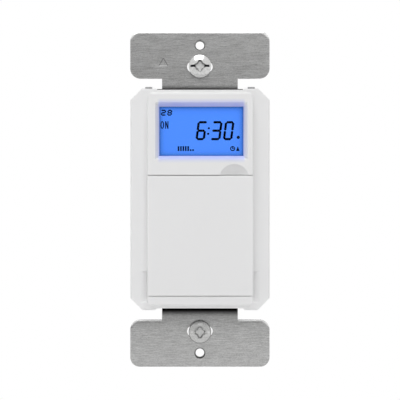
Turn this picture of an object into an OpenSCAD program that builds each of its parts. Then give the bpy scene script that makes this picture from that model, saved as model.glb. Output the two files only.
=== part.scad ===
// In-wall programmable timer switch with a decorator-size face.
// Frame: +X right, +Z up, the face looks along -Y. The strap's rear face lies at y = 0
// and the origin is midway between the two box screws.

/* [Mounting strap] */
// Reach of the strap's ears past the cover's wings, on each side
ear_out = 0.2; // [0:0.05:1.5]
// Steel left beyond the centre of a wall plate hole
ear_end = 4.27; // [4:0.01:6]
// Thickness of the strap's sheet steel
strap_t = 1.2; // [1:0.05:1.6]
// Length of each ear
ear_l = 14.7; // [13.5:0.1:15.5]
// Corner radius of each ear
ear_r = 3; // [1:0.25:5]
// Width of the neck between an ear and the body
neck_w = 23.8; // [18:0.1:26.5]
// Width of the shoulder at the foot of the upper neck
shoulder_w = 27; // [26.6:0.1:28]
// Distance from the cover's end to a box screw, which makes their spacing 83.34
screw_room = 7.02; // [6.6:0.01:7.6]
// Distance from a box screw to the next wall plate hole, which makes their spacing 96.84
hole_step = 6.75; // [6.4:0.01:7.2]
// Minor diameter of a tapped wall plate hole
plate_hole_d = 2.8; // [2.6:0.05:3]
// Width of the chamfer at a wall plate hole's mouth
hole_mouth = 0.35; // [0.2:0.05:0.5]
// Wall of the drawn collar behind a wall plate hole
collar_wall = 0.8; // [0.5:0.1:1.2]
// Depth of the drawn collar behind the strap
collar_l = 0.4; // [0.2:0.1:2]
// Length of the slot that holds a box screw
slot_l = 8.1; // [7.6:0.1:9]
// Width of the slot that holds a box screw
slot_w = 3.9; // [3.7:0.05:4.4]

/* [Box screws] */
// Thread diameter of a box screw
box_screw_d = 3.5; // [3.3:0.05:3.6]
// Length of a box screw under its head
box_screw_l = 25; // [16:1:32]
// Diameter of the plain neck under a box screw's head
box_neck_d = 3.1; // [2.6:0.05:3.2]
// Diameter of a box screw's head
box_head_d = 7.1; // [6.6:0.1:7.6]
// Height of a box screw's domed head
box_head_h = 1.9; // [1.6:0.1:2.4]
// Diameter of the fibre washer that keeps a screw in its slot
retainer_d = 6.6; // [5.8:0.1:7]
// Thickness of the fibre washer
retainer_t = 0.8; // [0.5:0.1:1.2]

/* [Cover wings] */
// Reach of each wing beside the raised face
wing_w = 5.41; // [5.1:0.01:6.5]
// Reach of the wings past the raised face's ends
wing_end = 1.65; // [1.5:0.05:2.5]
// Thickness of the cover's wings
flange_t = 2.2; // [2:0.1:2.8]
// Corner cut of the wings
flange_chamfer = 3.85; // [2:0.05:4.5]
// Edge rounding of the wings
flange_edge_r = 0.5; // [0.2:0.1:0.9]
// Width of the shallow notch over the strap's neck
neck_notch_w = 26.8; // [26.4:0.1:28]
// Depth of the shallow notch over the strap's neck
neck_notch_d = 0.6; // [0.3:0.1:0.8]

/* [Raised face] */
// Flat of the face beside the bezel's slope
face_side = 2.13; // [2:0.01:2.5]
// Flat of the face between the bezel's slope and the lid
face_strip = 4.68; // [4.4:0.02:5.4]
// Height of the raised face above the wings
face_h = 4.3; // [4.1:0.1:5]
// Corner radius of the raised face
face_corner_r = 2.5; // [1:0.1:3]
// Edge rounding at the top and bottom of the face
face_end_r = 0.9; // [0.4:0.1:1.2]
// Edge rounding along the sides of the face
face_side_r = 0.5; // [0.2:0.1:0.8]
// Wall of the raised face
face_wall = 1.3; // [1.1:0.05:1.4]
// Front wall round the display
bezel_t = 1.8; // [1.6:0.1:2]

/* [Display] */
// Width of the visible display
display_w = 25.92; // [24:0.02:26.4]
// Height of the visible display
display_h = 15.2; // [13:0.1:15.8]
// Sideways place of the display's centre
display_x = 0.35; // [-0.4:0.05:0.4]
// Face left above the bezel's slope
display_margin = 3.32; // [3:0.02:4]
// Width of the bezel's slope
bevel_w = 1.2; // [0.8:0.1:1.3]
// Thickness of the clear lens
lens_t = 1; // [0.8:0.1:1.2]
// Thickness of each display glass
glass_t = 1.1; // [0.7:0.1:1.1]
// Contact ledge at the foot of the front glass
ledge_h = 2.6; // [2.2:0.1:2.8]
// Thickness of the light guide
guide_t = 2; // [1.4:0.1:2]

/* [Lid] */
// Length of the lid
lid_l = 36.9; // [36.2:0.1:37.4]
// Thickness of the lid's front
lid_t = 1.2; // [1:0.05:1.2]
// Thickness of the lid's side skirts
skirt_t = 1.2; // [1:0.05:1.3]
// Face left below the lid
lip_l = 3.2; // [2.9:0.05:3.5]
// Gap above the lid
lid_gap_top = 0.2; // [0.15:0.05:0.4]
// Gap below the lid
lid_gap_bottom = 0.1; // [0.1:0.05:0.3]
// Height of the hinge axis above the lid's lower edge
hinge_up = 2.35; // [2.3:0.05:2.5]
// Depth of the hinge axis behind the face
hinge_in = 2; // [1.95:0.05:2.1]
// Diameter of a hinge pin
hinge_pin_d = 1.4; // [1.2:0.05:1.5]
// Width of the thumb scoop above the lid
scoop_w = 9; // [7:0.1:10]
// Height of the thumb scoop
scoop_h = 3.4; // [2.6:0.1:3.6]
// Distance of the thumb scoop's centre from the face's right side
scoop_side = 5.9; // [5.2:0.1:8]

/* [Keys] */
// Space between two programming keys of a column
key_space = 2.2; // [1.6:0.1:2.6]
// Space above the top keys and above the on/off key
key_edge = 2.7; // [2.5:0.1:3.2]
// Width of the on/off key
on_off_w = 17; // [12:0.5:20]
// Height of the on/off key
on_off_h = 4.8; // [4:0.1:5]
// Diameter of the reset button
reset_d = 2; // [1.6:0.1:2.2]
// Travel of every key
key_travel = 0.5; // [0.3:0.05:0.5]
// Height of a key above the deck
key_proud = 1; // [0.7:0.1:1]

/* [Boards] */
// Thickness of both circuit boards
board_t = 1.6; // [1.2:0.1:1.6]
// Space between the two boards
board_gap = 7.2; // [6.8:0.1:8]
// Gap between the control board and the face's side walls
control_gap = 0.5; // [0.3:0.05:0.8]
// Gap between the power board and the wire channels
power_gap = 1; // [0.6:0.1:1.4]
// Gap between the power board's ends and the case
power_end = 2.1; // [1.6:0.1:2.8]
// Height of the relay
relay_h = 15.2; // [12:0.1:18]
// Gap between the relay and the case's back
relay_room = 2.5; // [1.5:0.1:6]

/* [Rear case] */
// Set-back of the rear case from the wings' sides
case_in = 0.65; // [0.4:0.05:0.9]
// Set-back of the rear case from the wings' ends
case_end_in = 1.1; // [1.05:0.05:1.4]
// Wall of the rear case
case_wall = 1.7; // [1.4:0.1:2]
// Corner radius of the rear case
case_r = 4; // [2.4:0.1:5]
// Rounding of the rear case's back edges
case_back_r = 1.6; // [0.6:0.1:2.4]
// Width of the sunk panel on the case's back
panel_w = 24; // [16:0.5:26]
// Height of the sunk panel
panel_l = 40; // [20:1:46]
// Depth of the sunk panel
panel_d = 0.4; // [0.2:0.1:0.6]
// Length of the wire strip gauge below the panel
gauge_l = 12; // [8:0.5:16]
// Distance of each wire channel from the middle
channel_z = 15; // [14.5:0.1:16]
// Width of a wire channel
channel_w = 10.4; // [9.6:0.1:11]
// Depth of a wire channel into the case's side
channel_d = 5; // [4.6:0.1:5.2]
// Thread diameter of a terminal screw
terminal_screw_d = 3.3; // [3:0.1:3.5]
// Head diameter of a terminal screw
terminal_head_d = 6.8; // [6:0.1:7.2]
// Thickness of a terminal plate
terminal_t = 0.8; // [0.6:0.05:0.9]

/* [Hidden] */
$fn = 48;
eps = 0.01;

// Clearances
slide_clear = 0.2;
pin_clear = 0.06;
thread_clear = 0.05;
seat_clear = 0.15;
lid_clear = 0.2;
sweep_clear = 0.165;
latch_clear = 0.1;

// Outlines, from the lid and display outwards
face_w = display_w + 2 * (bevel_w + face_side);
bezel_l = display_margin + display_h + 2 * bevel_w + face_strip;
face_l = bezel_l + lid_gap_top + lid_l + lid_gap_bottom + lip_l;
flange_w = face_w + 2 * wing_w;
flange_l = face_l + 2 * wing_end;
box_screw_pitch = flange_l + 2 * screw_room;
plate_hole_pitch = box_screw_pitch + 2 * hole_step;
strap_w = flange_w + 2 * ear_out;
strap_l = plate_hole_pitch + 2 * ear_end;
case_w = flange_w - 2 * case_in;
case_l = flange_l - 2 * case_end_in;

// Depth planes, from front to rear
strap_front = -strap_t;
flange_front = strap_front - flange_t;
face_front = flange_front - face_h;
lid_inner = face_front + lid_t;
tub_rim = lid_inner + lid_clear;
deck_drop = 2.8;
deck_t = 1.2;
deck_front = face_front + deck_drop;
deck_rear = deck_front + deck_t;
board_front = 0.2;
board_rear = board_front + board_t;
power_front = board_rear + board_gap;
power_rear = power_front + board_t;
case_inner_rear = power_rear + relay_h + relay_room;
case_depth = case_inner_rear + case_wall;

// Display stack
bezel_rear = face_front + bezel_t;
bevel_depth = bezel_t - 0.2;
display_z = face_l / 2 - display_margin - bevel_w - display_h / 2;
glass_rim = 0.8;
lens_rim = 1;
lens_rear = bezel_rear + lens_t;
glass_front = lens_rear + 0.1;
glass_w = display_w + 2 * glass_rim;
glass_h = display_h + 2 * glass_rim;
glass_rear = glass_front + 2 * glass_t;
guide_front = glass_rear + 0.1;
frame_wall = 0.6;
frame_side = seat_clear + frame_wall;
display_top = display_z + glass_h / 2;
display_foot = display_z - glass_h / 2 - ledge_h;
frame_top = display_top + frame_side;
frame_foot = display_foot - frame_side;

// Raised face and lid
face_inner = face_w / 2 - face_wall;
lid_bottom = -face_l / 2 + lip_l + lid_gap_bottom;
lid_top = lid_bottom + lid_l;
bezel_foot = lid_top + lid_gap_top;
hollow_foot = frame_foot - 0.25;
skirt_inner = face_w / 2 - skirt_t;
skirt_rear = flange_front - 0.3;
lid_edge_r = 0.3;
hinge_y = face_front + hinge_in;
hinge_z = lid_bottom + hinge_up;
hinge_pin_r = hinge_pin_d / 2;
knuckle_r = hinge_pin_r + pin_clear + 0.49;
lid_reach = sqrt(pow(hinge_in - lid_edge_r, 2) + pow(hinge_up - lid_edge_r, 2)) + lid_edge_r;
sweep_r = lid_reach + sweep_clear;
trough_floor = hinge_y + sweep_r + 0.05;
ear_rear = trough_floor - 0.5;
pocket_half = 4.85;
pocket_out = 2.3;
pocket_d = 0.45;
pocket_ramp = 0.7;
pocket_top = hinge_z + pocket_half;
tub_half = skirt_inner - lid_clear;
tub_wall = 1.2;
tub_inner = tub_half - tub_wall;
tub_foot_wall = 1;
tub_foot = pocket_top + tub_foot_wall;
latch_rib_w = 8;
latch_rib_h = 0.9;

// Thumb scoop: a ball whose cut on the face is a circle of radius scoop_r
scoop_x = face_w / 2 - scoop_side;
scoop_r = (pow(scoop_w / 2, 2) + pow(scoop_h, 2)) / (2 * scoop_h);
scoop_depth = 1.3;
scoop_ball_r = (pow(scoop_r, 2) + pow(scoop_depth, 2)) / (2 * scoop_depth);

// Posts that carry the control board
post_r = 1.2;
post_sunk = 0.3;
stake_r = 0.8;
stake_head = 0.5;
post_x = tub_inner + post_sunk - post_r;

// Keys: the programming keys fill two columns, the on/off key lies below them
KEY_NAMES = [
    "day_key", "hour_key", "minute_key", "program_key", "clock_key", "mode_key",
    "on_off_key", "reset_button"
];
PLUNGER_NAMES = [
    "day_plunger", "hour_plunger", "minute_plunger", "program_plunger", "clock_plunger",
    "mode_plunger", "on_off_plunger", "reset_plunger"
];
key_rows = 3;
key_rim = 0.6;
key_side = 0.3;
key_corner_r = 0.8;
on_off_z = tub_foot + key_rim + on_off_h / 2 + 0.8;
key_field = bezel_foot - on_off_z - on_off_h / 2 - 2 * key_edge;
key_h = (key_field - (key_rows - 1) * key_space) / key_rows;
key_pitch = key_h + key_space;
key_top_z = bezel_foot - key_edge - key_h / 2;
key_inner = reset_d / 2 + 2 * key_rim + key_side;
key_outer = post_x - post_r - key_rim - 2 * key_side;
key_w = key_outer - key_inner;
key_x = (key_outer + key_inner) / 2;
on_off_index = 6;
reset_index = 7;
reset_z = key_top_z - key_pitch;
reset_sunk = 0.3;
key_rim_front = deck_rear + 0.05;
key_rim_t = 0.6;
key_rim_rear = key_rim_front + key_rim_t;
stem_r = 1.2;
switch_w = 4.6;
switch_h = 1.5;
switch_front = board_front - switch_h;
plunger_r = 1;
plunger_front = switch_front - 1;
plunger_rear = switch_front + 0.5;
plunger_bore_r = plunger_r + 0.08;
key_spots = concat(
    [for (i = [0 : 2 * key_rows - 1])
        [(i < key_rows ? -1 : 1) * key_x, key_top_z - (i % key_rows) * key_pitch]],
    [[0, on_off_z], [0, reset_z]]
);

// Places of the posts and pegs that join cover, boards and case
post_spots = [
    for (sx = [-1, 1], z = [bezel_foot - post_r - 0.3, key_top_z - 2 * key_pitch - key_h / 2 - 1.4])
        [sx * post_x, z]
];
peg_r = 1.2;
peg_l = 3.4;
peg_in = 3.25;
peg_x = flange_w / 2 - peg_in;
peg_z = 24;
peg_boss_r = 2.4;
peg_boss_l = 5;
control_top = frame_top + 0.15;
control_foot = tub_foot - 4;
control_w = 2 * (face_inner - control_gap);

// Strap behind the cover
ring_in = 0.9;
ring_end_in = 1;
ring_w = flange_w - 2 * ring_in;
ring_l = flange_l - 2 * ring_end_in;
ring_r = 4;
shoulder_in = 0.05;
shoulder_top = flange_l / 2 - shoulder_in;
window_clear = 0.35;
window_l = 2 * (frame_top + window_clear);
window_w = case_w - 2 * channel_d;
lug_w = 8.4;
box_neck_l = strap_t + retainer_t + 0.1;

// Rear case
case_half = case_w / 2;
channel_floor = case_half - channel_d;
channel_wall = 1.6;
channel_drop = 1.6;
channel_front = power_rear - channel_drop;
power_w = 2 * (channel_floor - channel_wall - power_gap);
power_l = case_l - 2 * (case_wall + power_end);
latch_w = 2.1;
latch_in = 5;
latch_x = case_half - latch_in;
latch_t = 1;
latch_hook = 0.45;
latch_front = flange_front + 0.8;
latch_tip = 0.6;
latch_root = 6;
latch_proud_top = 0.4;
latch_sight = 0.3;
latch_proud_foot = -0.1;
latch_ledge = 0.7;
case_post_r = 2;
case_post_spots = [
    for (sx = [-1, 1], sz = [-1, 1])
        [sx * (power_w / 2 - case_post_r - 0.3), sz * (power_l / 2 - case_post_r - 0.5)]
];
board_screw_d = 2;
board_head_d = 3.8;
board_head_h = 1.3;
board_screw_l = 6;
vent_count = 6;
vent_w = 1.2;
vent_l = 12;
vent_pitch = 3.4;
panel_r = 1.5;
gauge_w = 2;
gauge_r = 0.6;
gauge_drop = 4;

// Parts on the control board
link_drop = 5.4;
chip_spot = [-6.5, -6.5];
crystal_spot = [3, -11];
cell_spot = [-4, 9];
cell_r = 6.25;
cell_t = 2;
cell_seat = 0.5;
link_spot = [3, control_top - link_drop];
link_pins = 5;
link_pitch = 2;
link_w = 2.5;
link_split = board_rear + 2.5;
link_pin_w = 0.6;

// Parts on the power board: the relay in the middle, the others in rows above and below it
part_gap = 2.1;
lie_clear = 0.05;
relay_w = 15.4;
relay_l = 19;
film_t = 6;
film_z = relay_l / 2 + part_gap + film_t / 2;
can_r = 3.9;
can_x = 4.4;
can_z = film_z + film_t / 2 + part_gap + can_r;
varistor_t = 3.6;
varistor_z = -relay_l / 2 - part_gap - varistor_t / 2;
fuse_r = 1.6;
fuse_z = varistor_z - varistor_t / 2 - part_gap - fuse_r;
diode_l = 5;
diode_z = fuse_z - fuse_r - part_gap - diode_l / 2;
diode_pitch = 3.6;

// Terminals
terminal_w = 8.4;
terminal_l = 11.4;
terminal_drop = 5.8;
terminal_y = power_rear + terminal_drop;
terminal_end = power_rear + terminal_l;
tail_w = 2.8;
tail_in = 4.2;
clamp_gap = 0.2;
clamp_w = 8;
clamp_t = 1;
clamp_front = channel_floor + strap_t + clamp_gap;
terminal_head_h = 1.9;
terminal_hole_r = terminal_screw_d / 2 + thread_clear;
terminal_relief_r = terminal_screw_d / 2 + 0.4;
terminal_screw_end = channel_floor - 1;

// Front-view outline, drawn in (x, z), extruded from y_front back to y_rear
module slab(y_front, y_rear) {
    translate([0, y_rear, 0])
        rotate([90, 0, 0])
            linear_extrude(y_rear - y_front)
                children();
}

// Plan section, drawn in (x, y), extruded upwards
module along_z(z0, z1) {
    translate([0, 0, z0])
        linear_extrude(z1 - z0)
            children();
}

// Side section, drawn in (z, y), extruded sideways
module along_x(x0, x1) {
    translate([x1, 0, 0])
        rotate([0, -90, 0])
            linear_extrude(x1 - x0)
                children();
}

// Box given by its limits
module block(x, y, z) {
    translate([x[0], y[0], z[0]])
        cube([x[1] - x[0], y[1] - y[0], z[1] - z[0]]);
}

// Round bar along Y
module rod_y(x, z, y0, y1, r) {
    translate([x, y1, z])
        rotate([90, 0, 0])
            cylinder(h = y1 - y0, r = r);
}

// Round bar along X
module rod_x(y, z, x0, x1, r) {
    translate([x0, y, z])
        rotate([0, 90, 0])
            cylinder(h = x1 - x0, r = r);
}

// Rectangle with round corners, centred
module rounded_rect(w, h, r) {
    square([w - 2 * r, h], center = true);
    square([w, h - 2 * r], center = true);
    for (sx = [-1, 1], sy = [-1, 1])
        translate([sx * (w / 2 - r), sy * (h / 2 - r)])
            circle(r);
}

// Section of width w with its two front corners rounded
module rounded_front(w, y_front, y_rear, r) {
    translate([-w / 2, y_front + r])
        square([w, y_rear - y_front - r]);
    translate([-w / 2 + r, y_front])
        square([w - 2 * r, y_rear - y_front]);
    for (sx = [-1, 1])
        translate([sx * (w / 2 - r), y_front + r])
            circle(r);
}

// Copies children to both sides of the part
module both_sides() {
    children();
    mirror([1, 0, 0])
        children();
}

// The raised face's outer form, from the face back to y_rear
module face_block(y_rear) {
    intersection() {
        slab(face_front, y_rear)
            rounded_rect(face_w, face_l, face_corner_r);
        along_z(-face_l, face_l)
            rounded_front(face_w, face_front, y_rear, face_side_r);
        along_x(-face_w, face_w)
            rounded_front(face_l, face_front, y_rear, face_end_r);
    }
}

// Strap outline: ears, necks and the ring behind the cover
module strap_outline() {
    for (sz = [-1, 1])
        translate([0, sz * (strap_l - ear_l) / 2])
            rounded_rect(strap_w, ear_l, ear_r);
    square([neck_w, strap_l - ear_l], center = true);
    translate([-shoulder_w / 2, 0])
        square([shoulder_w, shoulder_top]);
    rounded_rect(ring_w, ring_l, ring_r);
}

// Bent lug for the earth screw, behind the strap's left rail
module earth_lug() {
    difference() {
        block([-channel_floor - strap_t, -channel_floor], [strap_front, terminal_end],
            [-channel_z - lug_w / 2, -channel_z + lug_w / 2]);
        rod_x(terminal_y, -channel_z, -channel_floor - 2 * strap_t, -channel_floor + strap_t,
            terminal_hole_r);
    }
}

module mounting_strap() {
    color("silver")
        difference() {
            union() {
                difference() {
                    slab(strap_front, 0)
                        strap_outline();
                    slab(strap_front - 1, 1)
                        square([window_w, window_l], center = true);
                }
                for (sz = [-1, 1])
                    rod_y(0, sz * plate_hole_pitch / 2, strap_front, collar_l,
                        plate_hole_d / 2 + collar_wall);
                earth_lug();
            }
            for (sz = [-1, 1]) {
                rod_y(0, sz * plate_hole_pitch / 2, strap_front - 1, collar_l + 1, plate_hole_d / 2);
                translate([0, strap_front, sz * plate_hole_pitch / 2])
                    hole_chamfer();
                slab(strap_front - 1, 1)
                    translate([0, sz * box_screw_pitch / 2])
                        screw_slot();
                for (sx = [-1, 1])
                    rod_y(sx * peg_x, sz * peg_z, strap_front - 1, 1, peg_r + latch_clear);
            }
        }
}

// Cone that opens the mouth of a wall plate hole at 45 degrees
module hole_chamfer() {
    over = 0.1;
    rotate([-90, 0, 0])
        translate([0, 0, -over])
            cylinder(h = hole_mouth + 2 * over, r1 = plate_hole_d / 2 + hole_mouth + over,
                r2 = plate_hole_d / 2 - over);
}

// Round-ended slot across the strap
module screw_slot() {
    square([slot_l - slot_w, slot_w], center = true);
    for (sx = [-1, 1])
        translate([sx * (slot_l - slot_w) / 2, 0])
            circle(slot_w / 2);
}

// Domed screw along +Y, its head's seat at the origin, with a slot and cross drive.
// The first neck_l of the shank is a plain neck.
module domed_screw(thread_d, length, head_d, head_h, neck_l = 0, neck_d = 0) {
    rim = head_h * 0.35;
    rise = head_h - rim;
    dome_r = (pow(head_d / 2, 2) + pow(rise, 2)) / (2 * rise);
    drive_w = head_d * 0.15;
    cross_l = head_d * 0.52;
    slot_depth = head_h * 0.5;
    cross_depth = head_h * 0.72;
    difference() {
        union() {
            intersection() {
                rod_y(0, 0, -head_h, 0, head_d / 2);
                translate([0, dome_r - head_h, 0])
                    sphere(dome_r);
            }
            if (neck_l > 0)
                rod_y(0, 0, -eps, neck_l + eps, neck_d / 2);
            rod_y(0, 0, neck_l - eps, length - thread_d / 2, thread_d / 2);
            translate([0, length - thread_d / 2, 0])
                rotate([-90, 0, 0])
                    cylinder(h = thread_d / 2, r1 = thread_d / 2, r2 = thread_d / 4);
        }
        block([-head_d, head_d], [-head_h - 1, -head_h + slot_depth], [-drive_w / 2, drive_w / 2]);
        for (a = [0, 90])
            rotate([0, a, 0])
                block([-cross_l / 2, cross_l / 2], [-head_h - 1, -head_h + cross_depth],
                    [-drive_w / 2, drive_w / 2]);
    }
}

module box_screws() {
    color("gainsboro")
        for (sz = [-1, 1])
            translate([0, strap_front, sz * box_screw_pitch / 2])
                domed_screw(box_screw_d, box_screw_l, box_head_d, box_head_h, box_neck_l, box_neck_d);
}

module screw_retainers() {
    color("peru")
        for (sz = [-1, 1])
            difference() {
                rod_y(0, sz * box_screw_pitch / 2, 0, retainer_t, retainer_d / 2);
                rod_y(0, sz * box_screw_pitch / 2, -1, retainer_t + 1, box_neck_d / 2 + thread_clear);
            }
}

// Wing outline with cut corners and the shallow notches over the strap's necks
module flange_outline() {
    w = flange_w / 2;
    h = flange_l / 2;
    c = flange_chamfer;
    n = neck_notch_w / 2;
    d = neck_notch_d;
    top = [[w, h - c], [w - c, h], [n + d, h], [n, h - d], [-n, h - d], [-n - d, h], [c - w, h],
        [-w, h - c]];
    polygon(concat(top, [for (i = [len(top) - 1 : -1 : 0]) [top[i][0], -top[i][1]]]));
}

// Wings with rounded front edges
module flange() {
    corner_span = sqrt(2) * ((flange_w + flange_l) / 2 - flange_chamfer);
    intersection() {
        slab(flange_front, strap_front)
            flange_outline();
        along_z(-flange_l, flange_l)
            rounded_front(flange_w, flange_front, strap_front, flange_edge_r);
        along_x(-flange_w, flange_w)
            rounded_front(flange_l, flange_front, strap_front, flange_edge_r);
        for (a = [-45, 45])
            rotate([0, a, 0])
                along_z(-flange_l, flange_l)
                    rounded_front(corner_span, flange_front, strap_front, flange_edge_r);
    }
}

// Room for the display stack and for the keys' switches
module cover_hollow() {
    block([-face_inner, face_inner], [bezel_rear, strap_front + 1],
        [hollow_foot, face_l / 2 - face_wall]);
    block([-tub_inner, tub_inner], [deck_rear, strap_front + 1], [tub_foot, hollow_foot + eps]);
}

// Sloped window through the bezel: two crossed wedges
module display_window() {
    half_w = display_w / 2;
    half_h = display_h / 2;
    slope_rear = face_front + bevel_depth;
    translate([display_x, 0, display_z]) {
        intersection() {
            along_x(-face_w, face_w)
                polygon([[-half_h - bevel_w, face_front], [half_h + bevel_w, face_front],
                    [half_h, slope_rear], [-half_h, slope_rear]]);
            along_z(-face_w, face_w)
                polygon([[-half_w - bevel_w, face_front], [half_w + bevel_w, face_front],
                    [half_w, slope_rear], [-half_w, slope_rear]]);
        }
        block([-half_w, half_w], [slope_rear - eps, bezel_rear + 1], [-half_h, half_h]);
    }
}

module thumb_scoop() {
    translate([scoop_x, face_front + scoop_depth - scoop_ball_r, bezel_foot + scoop_h - scoop_r])
        sphere(scoop_ball_r);
}

// Room in each wing for the lid's ear, with a shallow pocket beside it that slopes towards the lid
module hinge_pocket() {
    side = face_w / 2 + lid_clear;
    out = face_w / 2 + pocket_out;
    foot = hinge_z - pocket_half;
    floor_y = flange_front + pocket_d;
    block([0, side], [flange_front - 1, trough_floor], [foot, pocket_top]);
    intersection() {
        along_z(foot, pocket_top)
            polygon([[0, flange_front - 1], [out, flange_front - 1], [out, flange_front], [side, floor_y],
                [0, floor_y]]);
        along_x(0, out)
            polygon([[foot, flange_front - 1], [pocket_top, flange_front - 1], [pocket_top, floor_y],
                [foot + pocket_ramp, floor_y], [foot, flange_front]]);
    }
}

// Hole in the deck for one key
module key_hole(i) {
    size = key_size(i) + 2 * slide_clear * [1, 1];
    translate([key_spots[i][0], 0, key_spots[i][1]])
        slab(deck_front - 1, deck_rear + 1)
            key_outline(i, size);
}

function key_size(i) =
    i == on_off_index ? [on_off_w, on_off_h] : i == reset_index ? [reset_d, reset_d] : [key_w, key_h];

module key_outline(i, size) {
    if (i == reset_index) {
        circle(size[0] / 2);
    } else {
        rounded_rect(size[0], size[1], key_corner_r);
    }
}

// Deck and walls under the lid
module key_tub() {
    difference() {
        block([-tub_inner - eps, tub_inner + eps], [deck_front, deck_rear],
            [tub_foot - eps, bezel_foot + eps]);
        for (i = [0 : len(KEY_NAMES) - 1])
            key_hole(i);
    }
    block([-tub_half, tub_half], [tub_rim, strap_front], [pocket_top, tub_foot]);
    both_sides()
        block([tub_inner, tub_half], [tub_rim, trough_floor + eps], [hinge_z, bezel_foot + eps]);
    both_sides()
        rod_x(hinge_y, hinge_z, tub_inner, tub_half, knuckle_r);
    for (p = post_spots) {
        rod_y(p[0], p[1], deck_rear - eps, board_front, post_r);
        rod_y(p[0], p[1], board_front - eps, board_rear + stake_head, stake_r);
        rod_y(p[0], p[1], board_rear, board_rear + stake_head, stake_r + 0.5);
    }
}

// Notch in the wings' edge for one latch of the rear case. The upper ones are open to the front.
module latch_notch(sx, sz) {
    edge = flange_l / 2;
    floor_z = edge - latch_t + latch_clear;
    half = latch_w / 2 + latch_clear;
    scale_z = sz > 0 ? 0 : 1;
    mirror([0, 0, scale_z])
        translate([sx * latch_x, 0, 0]) {
            block([-half, half], [latch_front - latch_clear, strap_front + 1], [floor_z, edge + 1]);
            block([-half, half], [latch_front - latch_clear, strap_front - latch_ledge],
                [floor_z - latch_hook, floor_z + eps]);
            if (sz > 0)
                block([-half, half], [flange_front - 1, latch_front], [edge - latch_sight, edge + 1]);
        }
}

module front_cover() {
    color("white")
        difference() {
            union() {
                difference() {
                    union() {
                        difference() {
                            flange();
                            both_sides()
                                hinge_pocket();
                        }
                        intersection() {
                            face_block(flange_front + eps);
                            block([-face_w, face_w], [face_front - 1, 0], [bezel_foot, face_l]);
                        }
                        intersection() {
                            face_block(trough_floor + eps);
                            block([-face_w, face_w], [face_front - 1, 0],
                                [-face_l, lid_bottom - lid_gap_bottom]);
                        }
                    }
                    cover_hollow();
                    display_window();
                    thumb_scoop();
                }
                key_tub();
                for (sx = [-1, 1], sz = [-1, 1])
                    rod_y(sx * peg_x, sz * peg_z, strap_front - eps, strap_front + peg_l, peg_r);
            }
            difference() {
                rod_x(hinge_y, hinge_z, -face_w, face_w, sweep_r);
                block([-face_w, face_w], [face_front - 1, 0], [lid_bottom - lid_gap_bottom, face_l]);
            }
            both_sides()
                rod_x(hinge_y, hinge_z, tub_inner - 1, tub_half + 1, hinge_pin_r + pin_clear);
            for (sx = [-1, 1], sz = [-1, 1])
                latch_notch(sx, sz);
        }
}

module display_lens() {
    color("lightcyan", 0.4)
        translate([display_x, 0, display_z])
            block([-display_w / 2 - lens_rim, display_w / 2 + lens_rim], [bezel_rear, lens_rear],
                [-display_h / 2 - lens_rim, display_h / 2 + lens_rim]);
}

module display_front_glass() {
    color("cornflowerblue")
        block([display_x - glass_w / 2, display_x + glass_w / 2], [glass_front, glass_front + glass_t],
            [display_foot, display_top]);
}

module display_rear_glass() {
    color("royalblue")
        block([display_x - glass_w / 2, display_x + glass_w / 2], [glass_front + glass_t, glass_rear],
            [display_foot + ledge_h, display_top]);
}

module light_guide() {
    color("aliceblue")
        block([display_x - glass_w / 2, display_x + glass_w / 2], [guide_front, guide_front + guide_t],
            [display_foot + ledge_h, display_top]);
}

module backlight_lamps() {
    lamp_w = 1.6;
    lamp_h = 0.8;
    color("lightyellow")
        for (sx = [-1, 1])
            translate([display_x + sx * glass_w / 4, 0, display_z])
                block([-lamp_w / 2, lamp_w / 2], [guide_front + guide_t + 0.1, board_front],
                    [-lamp_h / 2, lamp_h / 2]);
}

// Open frame that carries glass and light guide on the control board
module display_frame() {
    half = glass_w / 2;
    color("whitesmoke")
        difference() {
            block([display_x - half - frame_side, display_x + half + frame_side], [lens_rear, board_front],
                [frame_foot, frame_top]);
            block([display_x - half - seat_clear, display_x + half + seat_clear],
                [lens_rear - 1, board_front + 1], [display_foot - seat_clear, display_top + seat_clear]);
        }
}

// Layered rubber strip between the front glass's ledge and the control board
module contact_strip() {
    strip_l = glass_w - 4;
    strip_h = ledge_h - 0.6;
    color("pink")
        translate([display_x, 0, display_foot + ledge_h / 2])
            block([-strip_l / 2, strip_l / 2], [glass_front + glass_t, board_front],
                [-strip_h / 2, strip_h / 2]);
}

// Lid: front, side skirts with hinge ears, inward pins and a latch rib
module lid() {
    color("white")
        difference() {
            union() {
                difference() {
                    intersection() {
                        union() {
                            face_block(skirt_rear);
                            both_sides()
                                lid_ear();
                        }
                        along_x(-face_w, face_w)
                            lid_side();
                    }
                    block([-skirt_inner, skirt_inner], [lid_inner, 0], [-face_l, face_l]);
                }
                both_sides()
                    rod_x(hinge_y, hinge_z, tub_inner + 0.2, skirt_inner + eps, hinge_pin_r);
                block([-latch_rib_w / 2, latch_rib_w / 2], [lid_inner - eps, tub_rim + 0.7],
                    [lid_top - lid_edge_r - latch_rib_h, lid_top - lid_edge_r]);
            }
            both_sides()
                difference() {
                    rod_x(hinge_y, hinge_z, tub_inner - lid_clear, skirt_inner, knuckle_r + lid_clear);
                    rod_x(hinge_y, hinge_z, tub_inner - 1, skirt_inner + 1, hinge_pin_r);
                }
        }
}

// Side section of the lid in (z, y), its front corners slightly rounded
module lid_side() {
    translate([(lid_top + lid_bottom) / 2, 0])
        rounded_front(lid_l, face_front, strap_front, lid_edge_r);
}

// Ear that reaches back round the hinge axis
module lid_ear() {
    ear_radius = ear_rear - hinge_y;
    intersection() {
        rod_x(hinge_y, hinge_z, skirt_inner, face_w / 2, ear_radius);
        block([0, face_w], [face_front + face_side_r, 0], [lid_bottom, lid_top]);
    }
}

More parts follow.
